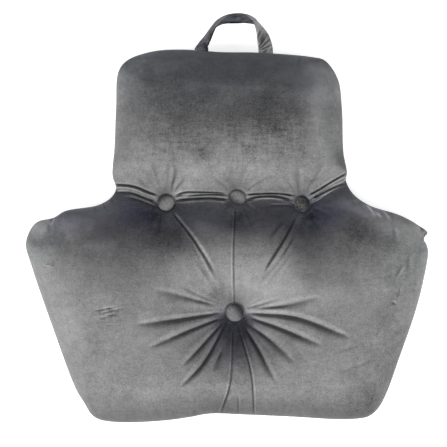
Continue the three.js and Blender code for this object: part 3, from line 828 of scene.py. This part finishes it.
def coarse_copy(parts):
    """The cover without its folds, remeshed to even cells."""
    calm = parts.mesh("coarse_cover", parts.calm_points)
    coarse = add_object("coarse_cover", calm)
    remesh = coarse.modifiers.new("remesh", "REMESH")
    remesh.mode = "VOXEL"
    remesh.voxel_size = PRESS_VOXEL * MM
    graph = bpy.context.evaluated_depsgraph_get()
    coarse.data = bpy.data.meshes.new_from_object(coarse.evaluated_get(graph))
    coarse.modifiers.clear()
    bpy.data.meshes.remove(calm)
    return coarse


def corners_of(mesh):
    return values_of(mesh.vertices, "co") / MM


def hold_down(coarse, rest):
    """Pins the waist, the buttons and the back that rests on the floor."""
    x, y, z = rest.T
    gap = nearest_on_line(x, y, Plan.waist)[0]
    for node in BUTTON_NODES:
        gap = np.minimum(gap, button_gap(node, x, y))
    hold = np.clip(1 - gap / PRESS_HOLD, 0, 1)
    hold[z < PRESS_BACK] = 1
    group = coarse.vertex_groups.new(name="held")
    for number in np.nonzero(hold)[0].tolist():
        group.add([number], hold[number], "REPLACE")
    return group.name


def swell(coarse, held):
    cloth = coarse.modifiers.new("cloth", "CLOTH")
    cloth.settings.quality = 5
    cloth.settings.bending_stiffness = 0.5
    cloth.settings.use_pressure = True
    cloth.settings.uniform_pressure_force = PRESSURE
    cloth.settings.effector_weights.gravity = 0
    cloth.settings.vertex_group_mass = held
    for number in range(1, PRESS_FRAMES + 1):
        bpy.context.scene.frame_set(number)
    graph = bpy.context.evaluated_depsgraph_get()
    return corners_of(coarse.evaluated_get(graph).data)


def evened(mesh, values):
    """Values at the mesh's points, averaged with their neighbours' over and over."""
    first, second = values_of(mesh.edges, "vertices", 2, int).T
    count = np.bincount(np.concatenate([first, second]), minlength=len(values))
    for _ in range(PRESS_EVENING):
        total = np.zeros(values.shape)
        np.add.at(total, first, values[second])
        np.add.at(total, second, values[first])
        values = (values + total / np.maximum(count, 1)[:, None]) / 2
    return values


def handed_on(rest, moved, calm):
    """The movement at the cover's points, from the nearest points of the coarse copy."""
    tree = KDTree(len(rest))
    for number, corner in enumerate(rest.tolist()):
        tree.insert(corner, number)
    tree.balance()
    shift = np.empty(calm.shape)
    for number, corner in enumerate(calm.tolist()):
        found = tree.find_n(corner, PRESS_NEIGHBOURS)
        shares = np.array([1 / (distance + PRESS_NEAREST) for _, _, distance in found])
        shift[number] = shares @ moved[[near for _, near, _ in found]] / shares.sum()
    x, y = calm[:, 0], calm[:, 1]
    for node in BUTTON_NODES:
        shift *= smooth(np.minimum(button_gap(node, x, y) / PRESS_BUTTON, 1))[:, None]
    inner = np.minimum(inset_and_rim_place(x, y)[1] / PRESS_RIM, 1)
    shift[:, :2] *= inner[:, None]
    shift[:, 2] *= PRESS_RIM_SHARE + (1 - PRESS_RIM_SHARE) * inner
    return shift


def press_filling(parts):
    """Moves the cover's points as the swelling filling does, most of all up from the floor."""
    coarse = coarse_copy(parts)
    rest = corners_of(coarse.data)
    moved = evened(coarse.data, swell(coarse, hold_down(coarse, rest)) - rest) * PRESS_SHARE
    moved *= np.minimum(1, PRESS_CAP / np.maximum(np.linalg.norm(moved, axis=1), TINY))[:, None]
    bpy.data.meshes.remove(coarse.data)
    bpy.context.scene.frame_set(1)
    shift = handed_on(rest, moved, np.concatenate(parts.calm_points))
    moved_points = np.concatenate(parts.points) + shift
    moved_points[:, 2] = np.maximum(moved_points[:, 2], 0)
    parts.points = [moved_points]


def add_face(parts, outer):
    """Rings inside the rim, the graded grid, and the band of free points that joins the two."""
    for ring in nested_rings(FACE_RINGS):
        inner = parts.add(*ring.T, *face_height(*ring.T))
        parts.strip(outer, inner, up=True)
        outer = inner
    free = scattered(ring, FACE_RINGS[-1], FACE_SCATTER)
    free_numbers = parts.add(*free.T, *face_height(*free.T))
    x, y, quads = grid_quads(FACE_SCATTER[-1] + GRID_CLEARANCE)
    numbers = np.array(parts.add(x, y, *face_height(x, y)))
    parts.faces += [tuple(quad) for quad in numbers[quads].tolist()]
    loop = loop_of_cells(quads)
    grid_loop = np.stack([x[loop], y[loop]], axis=1)
    loops = [list(range(len(ring))), list(range(len(ring), len(ring) + len(loop)))]
    parts.patch(np.vstack([ring, grid_loop, free]).tolist(),
                outer + numbers[loop].tolist() + free_numbers, loops, hole=grid_loop)


def add_back(parts, outer):
    """Rings below the rim, and free points on the back that lies on the floor."""
    for ring, inset in zip(nested_rings(BACK_RINGS), BACK_RINGS):
        place = inset_and_rim_place(*ring.T)[2]
        inner = parts.add(*ring.T, back_height(np.full(len(ring), inset), place))
        parts.strip(outer, inner, up=False)
        outer = inner
    free = scattered(ring, BACK_RINGS[-1], BACK_SCATTER)
    _, plain, place = inset_and_rim_place(*free.T)
    height = np.where(plain < BACK_ROUND, np.maximum(back_height(plain, place), 0), 0)
    parts.patch(np.vstack([ring, free]).tolist(), outer + parts.add(*free.T, height),
                [list(range(len(ring)))], up=False)


def make_cushion():
    parts = MeshParts()
    rim = parts.add(*Plan.rim.T, np.full(len(Plan.rim), SEAM_HEIGHT))
    add_face(parts, rim)
    add_back(parts, rim)
    press_filling(parts)
    return parts.build("cushion_cover")


# Covered buttons

BUTTON_RINGS = 22
BUTTON_SPOKES = 72
# Waves of the gathers round a button: height, count, how far they turn with the button
BUTTON_WAVES = ((1.0, 11, 1.0), (0.6, 7, 2.1))
# The button's side: share of its radius, height, ripple of the gathers; and the dome over it
BUTTON_SIDE = ((0.86, 0.0, 0.0), (0.96, 0.5, 0.006), (0.995, 1.6, 0.004))
BUTTON_RIM = 0.3
DOME_SHARE = 0.992
DOME_RIPPLE = 0.004


def make_button(node, turn, lean, size_share):
    """A domed disc of cloth with soft gathers at its rim, leaning a little as its thread pulls."""
    bx, by, radius, foot, thickness = button_place(node)
    parts = MeshParts()
    angle = np.linspace(0, 2 * math.pi, BUTTON_SPOKES, endpoint=False)
    waves = sum(size * np.sin(count * angle + way * turn) for size, count, way in BUTTON_WAVES)
    rim_height = BUTTON_RIM * thickness

    def ring(share, height, ripple):
        size = radius * size_share * share * (1 + ripple * waves)
        x, y = size * np.cos(angle), size * np.sin(angle)
        tilt = (x * lean[0] + y * lean[1]) * min(height / rim_height, 1)
        return parts.add(bx + x, by + y, foot + height + tilt)

    rings = [ring(*row) for row in BUTTON_SIDE]
    for i in range(BUTTON_RINGS):
        turned = (i / BUTTON_RINGS) * math.pi / 2
        height = rim_height + (thickness - rim_height) * math.sin(turned)
        ripple = DOME_RIPPLE * (1 - i / BUTTON_RINGS)
        rings.append(ring(math.cos(turned) * DOME_SHARE, height, ripple))
    for outer, inner in zip(rings, rings[1:]):
        parts.strip(outer, inner, up=True)
    top = parts.add(*np.array([[bx], [by], [foot + thickness]]))[0]
    for i, a in enumerate(rings[-1]):
        parts.faces.append((a, rings[-1][(i + 1) % BUTTON_SPOKES], top))
    parts.faces.append(tuple(rings[0][::-1]))
    return parts.build(f"{node}_cover")


# The carry loop

STRAP_STEPS = 14
STRAP_SECTION = 26
STRAP_ROUND = 0.16
STITCH_PLACE = 0.38
STITCH_HALF = 0.035
STITCH_DEPTH = 0.5
# Waves of its cloth: height, wavelength, seed, and how far they slant and stretch across it
STRAP_WAVES = (0.5, 9.0, 31)
STRAP_WAVE_SLANT = 30
STRAP_WAVE_SPAN = 40
# Folds across the strap: distance from its left end, or below zero from its right end, then slant,
# depth, half-width
STRAP_FOLDS = (
    (13.0, -0.5, 0.9, 2.4), (21.0, -0.7, 0.6, 3.0), (-11.0, -0.3, 0.6, 1.6),
    (-18.0, -0.6, 0.7, 1.8), (-27.0, -1.0, 0.6, 2.2), (-48.0, -0.8, 0.5, 3.4),
)
# The strap's painted shade and painted highlights, and its blue and green shade, in rows like the
# cover's further down
STRAP_PAINTED_SHADING = (
    (-36, 362, 20, 26, -0.3), (-42, 343, 7, 12, -0.34), (-31, 360, 7, 12, -0.6),
    (-23, 375, 6, 10, -0.5), (-42, 366, 4, 14, 0.3), (-52, 342, 16, 14, -0.5),
    (-44, 337, 4, 3, 0.36), (14, 397, 34, 12, -0.16), (14, 408, 28, 2.2, 0.9),
    (17, 404.2, 25, 2.8, -0.74), (20, 396, 20, 2.6, 0.9), (23, 400.5, 4, 4, 0.5),
    (14, 392, 26, 2.8, -0.72), (62, 360, 6, 22, 1.1), (73, 346, 4, 9, -0.14),
    (84, 366, 6, 14, -0.34), (86, 344, 5, 9, 0.34),
)
STRAP_BLUISH = (
    (-52, 340, 18, 14, 0.26), (-36, 362, 20, 26, 0.08), (14, 397, 34, 14, 0.1),
)
STRAP_GREENISH = (
    (-40, 356, 26, 34, 0.03), (14, 397, 34, 14, 0.03),
)
# How much painted shade the strap's folds get for each millimetre of depth
STRAP_FOLD_SHADE = 0.3


def around(top, bottom):
    """Values along the top and back along the bottom as one loop."""
    return np.concatenate([top[::-1], bottom[1:-1]])


def strap_section(across, cup, relief):
    """Across and through offsets of one section, counter-clockwise seen along the strap."""
    edge = np.clip((0.5 - np.abs(across)) / STRAP_ROUND, 0, 1)
    half = STRAP_THICKNESS / 2 * np.sqrt(1 - (1 - edge) ** 2)
    half = half - STITCH_DEPTH * bell((np.abs(across) - STITCH_PLACE) / STITCH_HALF)
    middle = cup * (1 - 4 * across ** 2) + relief
    return around(across, across) * STRAP_WIDTH, around(middle + half, middle - half)


def strap_relief(travelled, length, across):
    """Height of the strap's waves and folds at one section, and the painted shade in its folds at
    each point.
    """
    size, wavelength, seed = STRAP_WAVES
    waves = size * value_noise(travelled + STRAP_WAVE_SLANT * across, across * STRAP_WAVE_SPAN,
                               wavelength, seed)
    shade = np.zeros(across.shape)
    for distance, slant, depth, half in STRAP_FOLDS:
        middle = distance if distance > 0 else length + distance
        share = bell((travelled - middle - slant * across * STRAP_WIDTH) / half)
        waves = waves - depth * share
        shade = np.maximum(shade, STRAP_FOLD_SHADE * depth * share)
    return waves, shade


def make_strap():
    table = np.array(STRAP_STATIONS, float)
    steps = STRAP_STEPS * (len(table) - 1)
    path = spline(table[:, :3], steps=steps)
    twist = spline(table[:, 3:], steps=steps)
    travelled = np.concatenate([[0], np.cumsum(spans_of(path))])
    share = np.linspace(-0.5, 0.5, STRAP_SECTION)
    parts = MeshParts()
    up = np.array([0.0, 0.0, 1.0])
    rings = []
    for s, (centre, (turn, cup)) in enumerate(zip(path, twist)):
        ahead = path[min(s + 1, len(path) - 1)] - path[max(s - 1, 0)]
        ahead /= np.linalg.norm(ahead)
        outward = np.cross(up, ahead)
        outward /= np.linalg.norm(outward)
        across = outward * math.cos(math.radians(turn)) + up * math.sin(math.radians(turn))
        relief, shade = strap_relief(travelled[s], travelled[-1], share)
        u, v = strap_section(share, cup, relief)
        points = centre + u[:, None] * across + v[:, None] * np.cross(ahead, across)
        rings.append(parts.add(*points.T, around(shade, shade)))
    parts.faces.append(tuple(rings[0][::-1]))
    for outer, inner in zip(rings, rings[1:]):
        parts.strip(outer, inner, up=True)
    parts.faces.append(tuple(rings[-1]))
    return parts.build("carry_strap")


# Materials

class Nodes:
    """A short way to add and link nodes of one material."""

    def __init__(self, name):
        self.material = bpy.data.materials.new(name)
        self.material.use_nodes = True
        self.tree = self.material.node_tree
        self.tree.nodes.clear()

    def add(self, kind, inputs=None, output=0, **settings):
        """Adds a node, sets or links its inputs, and gives back one of its outputs."""
        node = self.tree.nodes.new(f"ShaderNode{kind}")
        for key, value in settings.items():
            setattr(node, key, value)
        for key, value in (inputs or {}).items():
            if isinstance(value, bpy.types.NodeSocket):
                self.tree.links.new(value, node.inputs[key])
            else:
                node.inputs[key].default_value = value
        return node.outputs[output] if node.outputs else None

    def math(self, operation, *values):
        return self.add("Math", dict(enumerate(values)), operation=operation)

    def vector(self, operation, *values, output=0):
        return self.add("VectorMath", dict(enumerate(values)), output, operation=operation)

    def noise(self, place, scale, detail, roughness=0.5, distortion=0.0, output="Fac"):
        inputs = {"Vector": place, "Scale": scale, "Detail": detail, "Roughness": roughness,
                  "Distortion": distortion}
        return self.add("TexNoise", inputs, output)

    def ranged(self, value, low, high, to_low, to_high):
        return self.add("MapRange", {"Value": value, "From Min": low, "From Max": high,
                                     "To Min": to_low, "To Max": to_high})

    def attribute(self, name, output="Fac"):
        return self.add("Attribute", output=output, attribute_name=name)

    def surface(self, inputs):
        """Ends the material with a shader of these inputs."""
        shader = self.add("BsdfPrincipled", inputs)
        self.add("OutputMaterial", {"Surface": shader})
        return self.material


# Painted shade and light by slope: the cloth is painted darker where it turns towards the head and
# lighter where it turns towards -Y, and lighter again where it is steepest. Place on the ramp from
# facing -Y to facing +Y, and the grey there
SLOPE_SHADE_RAMP = (
    (0.00, (0.088, 0.087, 0.086)),
    (0.15, (0.125, 0.124, 0.123)),
    (0.30, (0.180, 0.179, 0.178)),
    (0.42, (0.210, 0.209, 0.208)),
    (0.50, (0.176, 0.175, 0.175)),
    (0.55, (0.112, 0.112, 0.114)),
    (0.60, (0.062, 0.062, 0.065)),
    (0.67, (0.032, 0.032, 0.036)),
    (0.76, (0.040, 0.041, 0.045)),
    (0.86, (0.072, 0.073, 0.078)),
    (1.00, (0.094, 0.095, 0.100)),
)
# Patches of painted shade and painted light: centre, reach across and along, shift
PAINTED_SHADING = (
    # Along the waist
    (-146, -10, 64, 45, -0.27), (130, -15, 75, 45, -0.06), (242, 24, 24, 20, 0.15),
    (-156, 7, 20, 15, -0.34), (-98, 49, 18, 12, 0.85), (30, 54, 20, 12, 0.75), (163, 34, 7, 7, 0.4),
    (-40, -15, 40, 25, 0.35), (25, 8, 18, 14, -0.66), (10, -58, 120, 26, -0.16),
    (-126, 8, 28, 16, -0.28), (172, 7, 24, 16, -0.46), (196, 58, 16, 8, -0.3),
    (184, 38, 16, 9, -0.55), (152, 6, 20, 17, -0.5), (-108, -50, 50, 24, -0.18),
    # Round the lower button and its folds
    (12, -222, 26, 20, -0.46), (14, -245, 38, 42, -0.28), (50, -125, 80, 50, 0.22),
    (14, -208, 16, 9, -0.15), (160, -146, 110, 26, 0.28), (-110, -150, 80, 20, 0.1),
    (-24, -150, 26, 20, -0.48), (90, -190, 80, 24, 0.26), (-70, -306, 90, 30, -0.14),
    (-134, -182, 40, 14, 0.18), (-134, -228, 30, 16, 0.2), (10, -278, 22, 16, 0.3),
    (122, -286, 20, 20, -0.24), (58, -205, 16, 14, 0.24),
    # Left shoulder and corner
    (-268, -2, 50, 30, 0.9), (-326, -12, 20, 20, -0.24), (-370, -6, 20, 18, 0.34),
    (-372, -40, 26, 22, -0.16), (-310, -64, 60, 18, -0.12), (-242, -8, 34, 18, 0.18),
    # Right shoulder and corner
    (290, 18, 48, 15, 2.3), (318, -6, 30, 18, 0.5), (356, -20, 26, 18, 0.25),
    (400, -44, 24, 26, 0.12), (292, 4, 72, 30, 0.45), (284, -62, 60, 24, -0.12),
    (390, -26, 18, 14, 0.55), (250, -46, 22, 30, -0.4), (372, -52, 20, 20, 0.16),
    # Head
    (-75, 252, 56, 24, -0.13), (174, 290, 42, 32, 0.75), (-20, 322, 220, 26, 0.72),
    (-168, 314, 40, 24, 0.95), (0, 212, 190, 52, -0.36), (116, 192, 40, 42, -0.24),
    (172, 232, 40, 70, 0.66), (-130, 212, 60, 40, -0.12), (-50, 146, 130, 34, -0.12),
    (-72, 92, 26, 22, 0.26), (112, 276, 34, 34, 0.26), (-54, 113, 28, 24, -0.38),
    (-200, 180, 40, 90, 0.05),
    # Bottom and sides
    (290, -366, 100, 56, -0.24), (-20, -376, 250, 34, -0.16), (326, -284, 36, 64, -0.3),
    (286, -344, 26, 24, -0.22), (60, -324, 180, 14, -0.1), (-340, -200, 60, 120, 0.08),
    (365, -220, 50, 150, -0.14),
)
# Where the cloth's shade turns blue: centre, reach, share
BLUISH = (
    (-170, 5, 46, 24, 0.36), (178, 10, 46, 30, 0.34), (0, 0, 180, 30, 0.1),
    (10, -225, 45, 40, 0.22), (-312, -4, 46, 24, 0.15), (0, 290, 220, 60, 0.04),
)
# Where it turns green: centre, reach, share
GREENISH = (
    (-368, -44, 38, 34, 0.06), (360, -80, 60, 50, 0.03), (-60, 280, 190, 60, 0.045),
    (205, 150, 30, 60, 0.02),
)
# Where the pile is covered with short marks: centre, reach, strength
SCRATCHED = (
    (50, 152, 110, 42, 1.0), (-110, 140, 60, 40, 0.8), (130, 190, 60, 60, 0.5),
    (-228, -183, 30, 14, 2.0), (-110, -60, 60, 30, 0.5), (300, -100, 60, 90, 0.4),
)
# Where the painted slope shade is weaker: centre, reach, shift
WEAKER_SLOPE_SHADE = (
    (-285, -5, 90, 50, -0.45), (-385, -25, 75, 60, -0.8), (290, -5, 80, 55, -0.42),
    (390, -40, 90, 70, -0.9), (-48, -228, 36, 30, -0.55), (76, -230, 36, 30, -0.55),
    (-210, 270, 60, 70, -0.35), (215, 270, 50, 70, -0.35), (0, 305, 300, 60, -0.45),
)
# A fold's walls: how dark the wall away from the light gets, and how light the other
FOLD_DARK = 0.22
FOLD_DARK_SLOPE = 0.42
FOLD_LIGHT = 1.42
FOLD_LIGHT_SLOPE = 0.42
# How far the edges of the painted shade and light patches are pushed about, and the noise that does
# it
PATCH_WARP = 0.1
WARP_NOISE = (9.0, 4.0, 0.72)
# The pile's uneven tone: scale, detail, how far it shifts, and the roughness and distortion of all
PILE_TONES = ((14.0, 3.0, 0.09), (90.0, 4.0, 0.13), (420.0, 3.0, 0.28))
PILE_GRAIN = (0.6, 0.4)
# How unevenly the painted slope shade falls: scale, detail, and how far along the ramp
RAMP_NOISE = (22.0, 3.0)
RAMP_SHIFT = 0.014
# The strands and the strokes of the pile's relief: scale, detail, roughness
STRANDS = (1100.0, 2.0, 0.6)
STROKES = (150.0, 3.0, 0.6)
STROKE_HEIGHT = 0.8
# Noise mostly stays within this part of its range
NOISE_RANGE = (0.3, 0.7)
# The short marks' turn and stretch, one row a direction, their noise and the part of it that shows
SCRATCH_WAYS = ((0.62, (1.0, 7.0, 1.0)), (-0.35, (6.0, 1.0, 1.0)), (0.25, (1.6, 7.0, 1.0)))
SCRATCH_NOISE = (30.0, 3.0, 0.55, 0.8)
SCRATCH_RANGE = (0.40, 0.62)
SCRATCH_SHADE = 0.17
SCRATCH_BASE = 0.2
CREASE_SHADE = 0.8


def patched(nodes, place, patches, total=1.0):
    """The total plus the shift of each patch at the place."""
    parts = nodes.add("SeparateXYZ", {0: place}).node.outputs
    for cx, cy, rx, ry, shift in patches:
        u = nodes.math("MULTIPLY_ADD", parts["X"], 1 / (rx * MM), -cx / rx)
        v = nodes.math("MULTIPLY_ADD", parts["Y"], 1 / (ry * MM), -cy / ry)
        square = nodes.math("MULTIPLY_ADD", v, v, nodes.math("MULTIPLY", u, u))
        swell = nodes.math("EXPONENT", nodes.math("MULTIPLY", square, -1.0))
        total = nodes.math("MULTIPLY_ADD", swell, shift, total)
    return total


def warped(nodes, place):
    """The place pushed about by soft noise, so that the patches of painted shade and light have
    uneven edges.
    """
    push = nodes.vector("SUBTRACT", nodes.noise(place, *WARP_NOISE, output="Color"), (0.5,) * 3)
    return nodes.vector("MULTIPLY_ADD", push, (PATCH_WARP,) * 3, place)


def fold_tone(nodes):
    """Darker on a fold's wall that faces away from the light, lighter on the other."""
    turned = nodes.attribute("wall")
    dark = nodes.ranged(turned, 0.0, FOLD_DARK_SLOPE, 1.0, FOLD_DARK)
    light = nodes.ranged(turned, -FOLD_LIGHT_SLOPE, 0.0, FOLD_LIGHT, 1.0)
    return nodes.math("MULTIPLY", dark, light)


def scratches(nodes, cloth, patches):
    """Short faint marks in the pile that cross each other, gathered in some places."""
    total = None
    for turn, stretch in SCRATCH_WAYS:
        turned = nodes.add("Mapping", {"Vector": cloth, "Rotation": (0, 0, turn), "Scale": stretch})
        mark = nodes.ranged(nodes.noise(turned, *SCRATCH_NOISE), *SCRATCH_RANGE, -0.5, 0.5)
        total = mark if total is None else nodes.math("ADD", total, mark)
    return nodes.math("MULTIPLY", total, patched(nodes, patches, SCRATCHED, SCRATCH_BASE))


def pile_tone_and_painted_shading(nodes, place, painted_shading, shade):
    """The pile's own uneven tone, with patches of painted shade and painted light."""
    tone = patched(nodes, place["patches"], painted_shading, shade)
    for scale, detail, reach in PILE_TONES:
        grain = nodes.noise(place["cloth"], scale, detail, *PILE_GRAIN)
        tone = nodes.math("ADD", nodes.ranged(grain, *NOISE_RANGE, -reach, reach), tone)
    return tone


# The grey of the painted slope shade and light at each point
def slope_shaded_colour(nodes, facing):
    colour = nodes.add("ValToRGB", {"Fac": facing})
    stops = colour.node.color_ramp.elements
    for _ in SLOPE_SHADE_RAMP[2:]:
        stops.new(0.5)
    for stop, (position, grey) in zip(stops, SLOPE_SHADE_RAMP):
        stop.position = position
        stop.color = (*grey, 1)
    return colour


def tinted(nodes, colour, place, bluish, greenish):
    green = patched(nodes, place, greenish)
    blue = nodes.math("MULTIPLY", patched(nodes, place, bluish), green)
    tint = nodes.add("CombineXYZ", {"X": 1.0, "Y": green, "Z": blue})
    return nodes.vector("MULTIPLY", colour, tint)


def slope_of(nodes, cloth, shaded_way, folded):
    """How far the cloth faces the way of its painted shade, from -1 to 1."""
    surface = nodes.attribute("calm_normal", "Vector") if folded else cloth.node.outputs["Normal"]
    slope = nodes.vector("DOT_PRODUCT", surface, (*shaded_way, 0), output="Value")
    if folded:
        slope = nodes.math("MULTIPLY", slope, patched(nodes, cloth, WEAKER_SLOPE_SHADE))
    return slope


def velvet(name, shaded_way, shade=1.0, painted_shading=(), tints=(), folded=False):
    """Short-pile cloth with its own uneven tone, and painted shade and painted light by its slope, in
    its creases and in patches.
    """
    nodes = Nodes(name)
    cloth = nodes.add("TexCoord", output="Object")
    place = {"cloth": cloth, "patches": warped(nodes, cloth) if folded else cloth}
    facing = nodes.math("MULTIPLY_ADD", slope_of(nodes, cloth, shaded_way, folded), 0.5, 0.5)
    # A noisy shift along the painted slope-shade ramp
    lean = nodes.ranged(nodes.noise(cloth, *RAMP_NOISE), *NOISE_RANGE, -RAMP_SHIFT, RAMP_SHIFT)
    colour = slope_shaded_colour(nodes, nodes.math("ADD", facing, lean))
    tone = pile_tone_and_painted_shading(nodes, place, painted_shading, shade)
    # Painted shade in creases and folds, and painted light where the value is below zero
    crease_shading = nodes.math("MULTIPLY_ADD", nodes.attribute("crease_shading"), -CREASE_SHADE, 1.0)
    tone = nodes.math("MULTIPLY", tone, crease_shading)
    if folded:
        tone = nodes.math("MULTIPLY_ADD", scratches(nodes, **place), SCRATCH_SHADE, tone)
        tone = nodes.math("MULTIPLY", tone, fold_tone(nodes))
    colour = nodes.add("VectorMath", {0: colour, "Scale": tone}, operation="SCALE")
    if tints:
        colour = tinted(nodes, colour, place["patches"], *tints)
    strokes = nodes.noise(cloth, *STROKES)
    height = nodes.math("MULTIPLY_ADD", strokes, STROKE_HEIGHT, nodes.noise(cloth, *STRANDS))
    return nodes.surface({
        "Base Color": colour,
        "Roughness": 0.92,
        "Specular IOR Level": 0.12,
        "Sheen Weight": 0.25,
        "Sheen Roughness": 0.45,
        "Sheen Tint": (0.72, 0.73, 0.78, 1),
        "Normal": nodes.add("Bump", {"Strength": 0.35, "Distance": 0.0006, "Height": height}),
    })


def floor_material():
    return Nodes("pale_floor").surface({
        "Base Color": (0.92, 0.92, 0.92, 1),
        "Roughness": 0.9,
        "Specular IOR Level": 0.1,
        "Emission Color": (1, 1, 1, 1),
        "Emission Strength": 0.5,
    })


# Floor, light and camera

FLOOR_HALF = 6.0
WORLD_LIGHT = 0.72
# Softboxes: place, width and length, power
SOFTBOXES = {
    "key": ((0.0, -1.5, 2.4), (2.6, 1.8), 52.0),
    "left_fill": ((-2.6, -0.2, 1.6), (1.2, 1.8), 24.0),
    "right_fill": ((2.6, -0.2, 1.6), (1.2, 1.8), 8.0),
}
CLIP_END = 50


def make_floor():
    mesh = bpy.data.meshes.new("floor")
    signs = ((-1, -1), (1, -1), (1, 1), (-1, 1))
    mesh.from_pydata([(a * FLOOR_HALF, b * FLOOR_HALF, 0) for a, b in signs], [], [(0, 1, 2, 3)])
    mesh.materials.append(floor_material())
    floor = add_object("floor", mesh)


def add_softbox(name, place, size, power):
    light = bpy.data.lights.new(name, "AREA")
    light.shape = "RECTANGLE"
    light.size, light.size_y = size
    light.energy = power
    lamp = add_object(name, light)
    lamp.location = place
    lamp.rotation_euler = (-Vector(place)).to_track_quat("-Z", "Y").to_euler()


def make_lights():
    world = bpy.data.worlds.new("studio")
    bpy.context.scene.world = world
    world.use_nodes = True
    background = world.node_tree.nodes["Background"]
    background.inputs["Color"].default_value = (1, 1, 1, 1)
    background.inputs["Strength"].default_value = WORLD_LIGHT
    for name, row in SOFTBOXES.items():
        add_softbox(name, *row)


def make_camera():
    camera = bpy.data.cameras.new("camera")
    camera.sensor_width = SENSOR_MM
    seen = FRAME_PIXELS * MM_PER_PIXEL * MM
    camera.lens = SENSOR_MM * (CAMERA_HEIGHT - SEAM_HEIGHT * MM) / seen
    camera.clip_end = CLIP_END
    eye = add_object("camera", camera)
    middle = FRAME_PIXELS / 2
    eye.location = ((middle - ORIGIN_PIXEL[0]) * MM_PER_PIXEL * MM,
                    (ORIGIN_PIXEL[1] - middle) * MM_PER_PIXEL * MM, CAMERA_HEIGHT)
    bpy.context.scene.camera = eye


def set_colours():
    view = bpy.context.scene.view_settings
    view.view_transform = "Standard"
    view.look = "None"


def dress(piece, material, slot, *nodes):
    piece.data.materials.append(material)
    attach(piece, "root")
    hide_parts(*nodes)


make_camera()
make_lights()
make_floor()
set_colours()

cover = make_cushion()
cover_look = velvet("velvet_cover", (0.04, 1.0), painted_shading=PAINTED_SHADING, tints=(BLUISH, GREENISH),
                    folded=True)
dress(cover, cover_look, "velvet", "cushion")

# Each button's look: turn of its gathers, lean, size, the way its painted shade faces, and how dark
# it is painted
BUTTON_LOOKS = {
    "button_left": (0.4, (0.0, 0.03), 0.98, (-0.34, 0.46), 0.80),
    "button_middle": (1.7, (0.0, 0.02), 0.93, (-0.36, -0.60), 0.77),
    "button_right": (2.9, (0.0, -0.08), 0.93, (0.36, 0.20), 0.25),
    "button_lower": (4.1, (-0.03, -0.03), 0.95, (0.60, 0.50), 0.81),
}
for node, (turn, lean, size, shaded_way, shade) in BUTTON_LOOKS.items():
    look = velvet(f"velvet_{node}", shaded_way, shade)
    dress(make_button(node, turn, lean, size), look, "button_cover", node)

strap = make_strap()
strap_look = velvet("velvet_strap", (0.35, -0.94), painted_shading=STRAP_PAINTED_SHADING,
                    tints=(STRAP_BLUISH, STRAP_GREENISH))
dress(strap, strap_look, "strap", "handle")

bpy.context.view_layer.update()
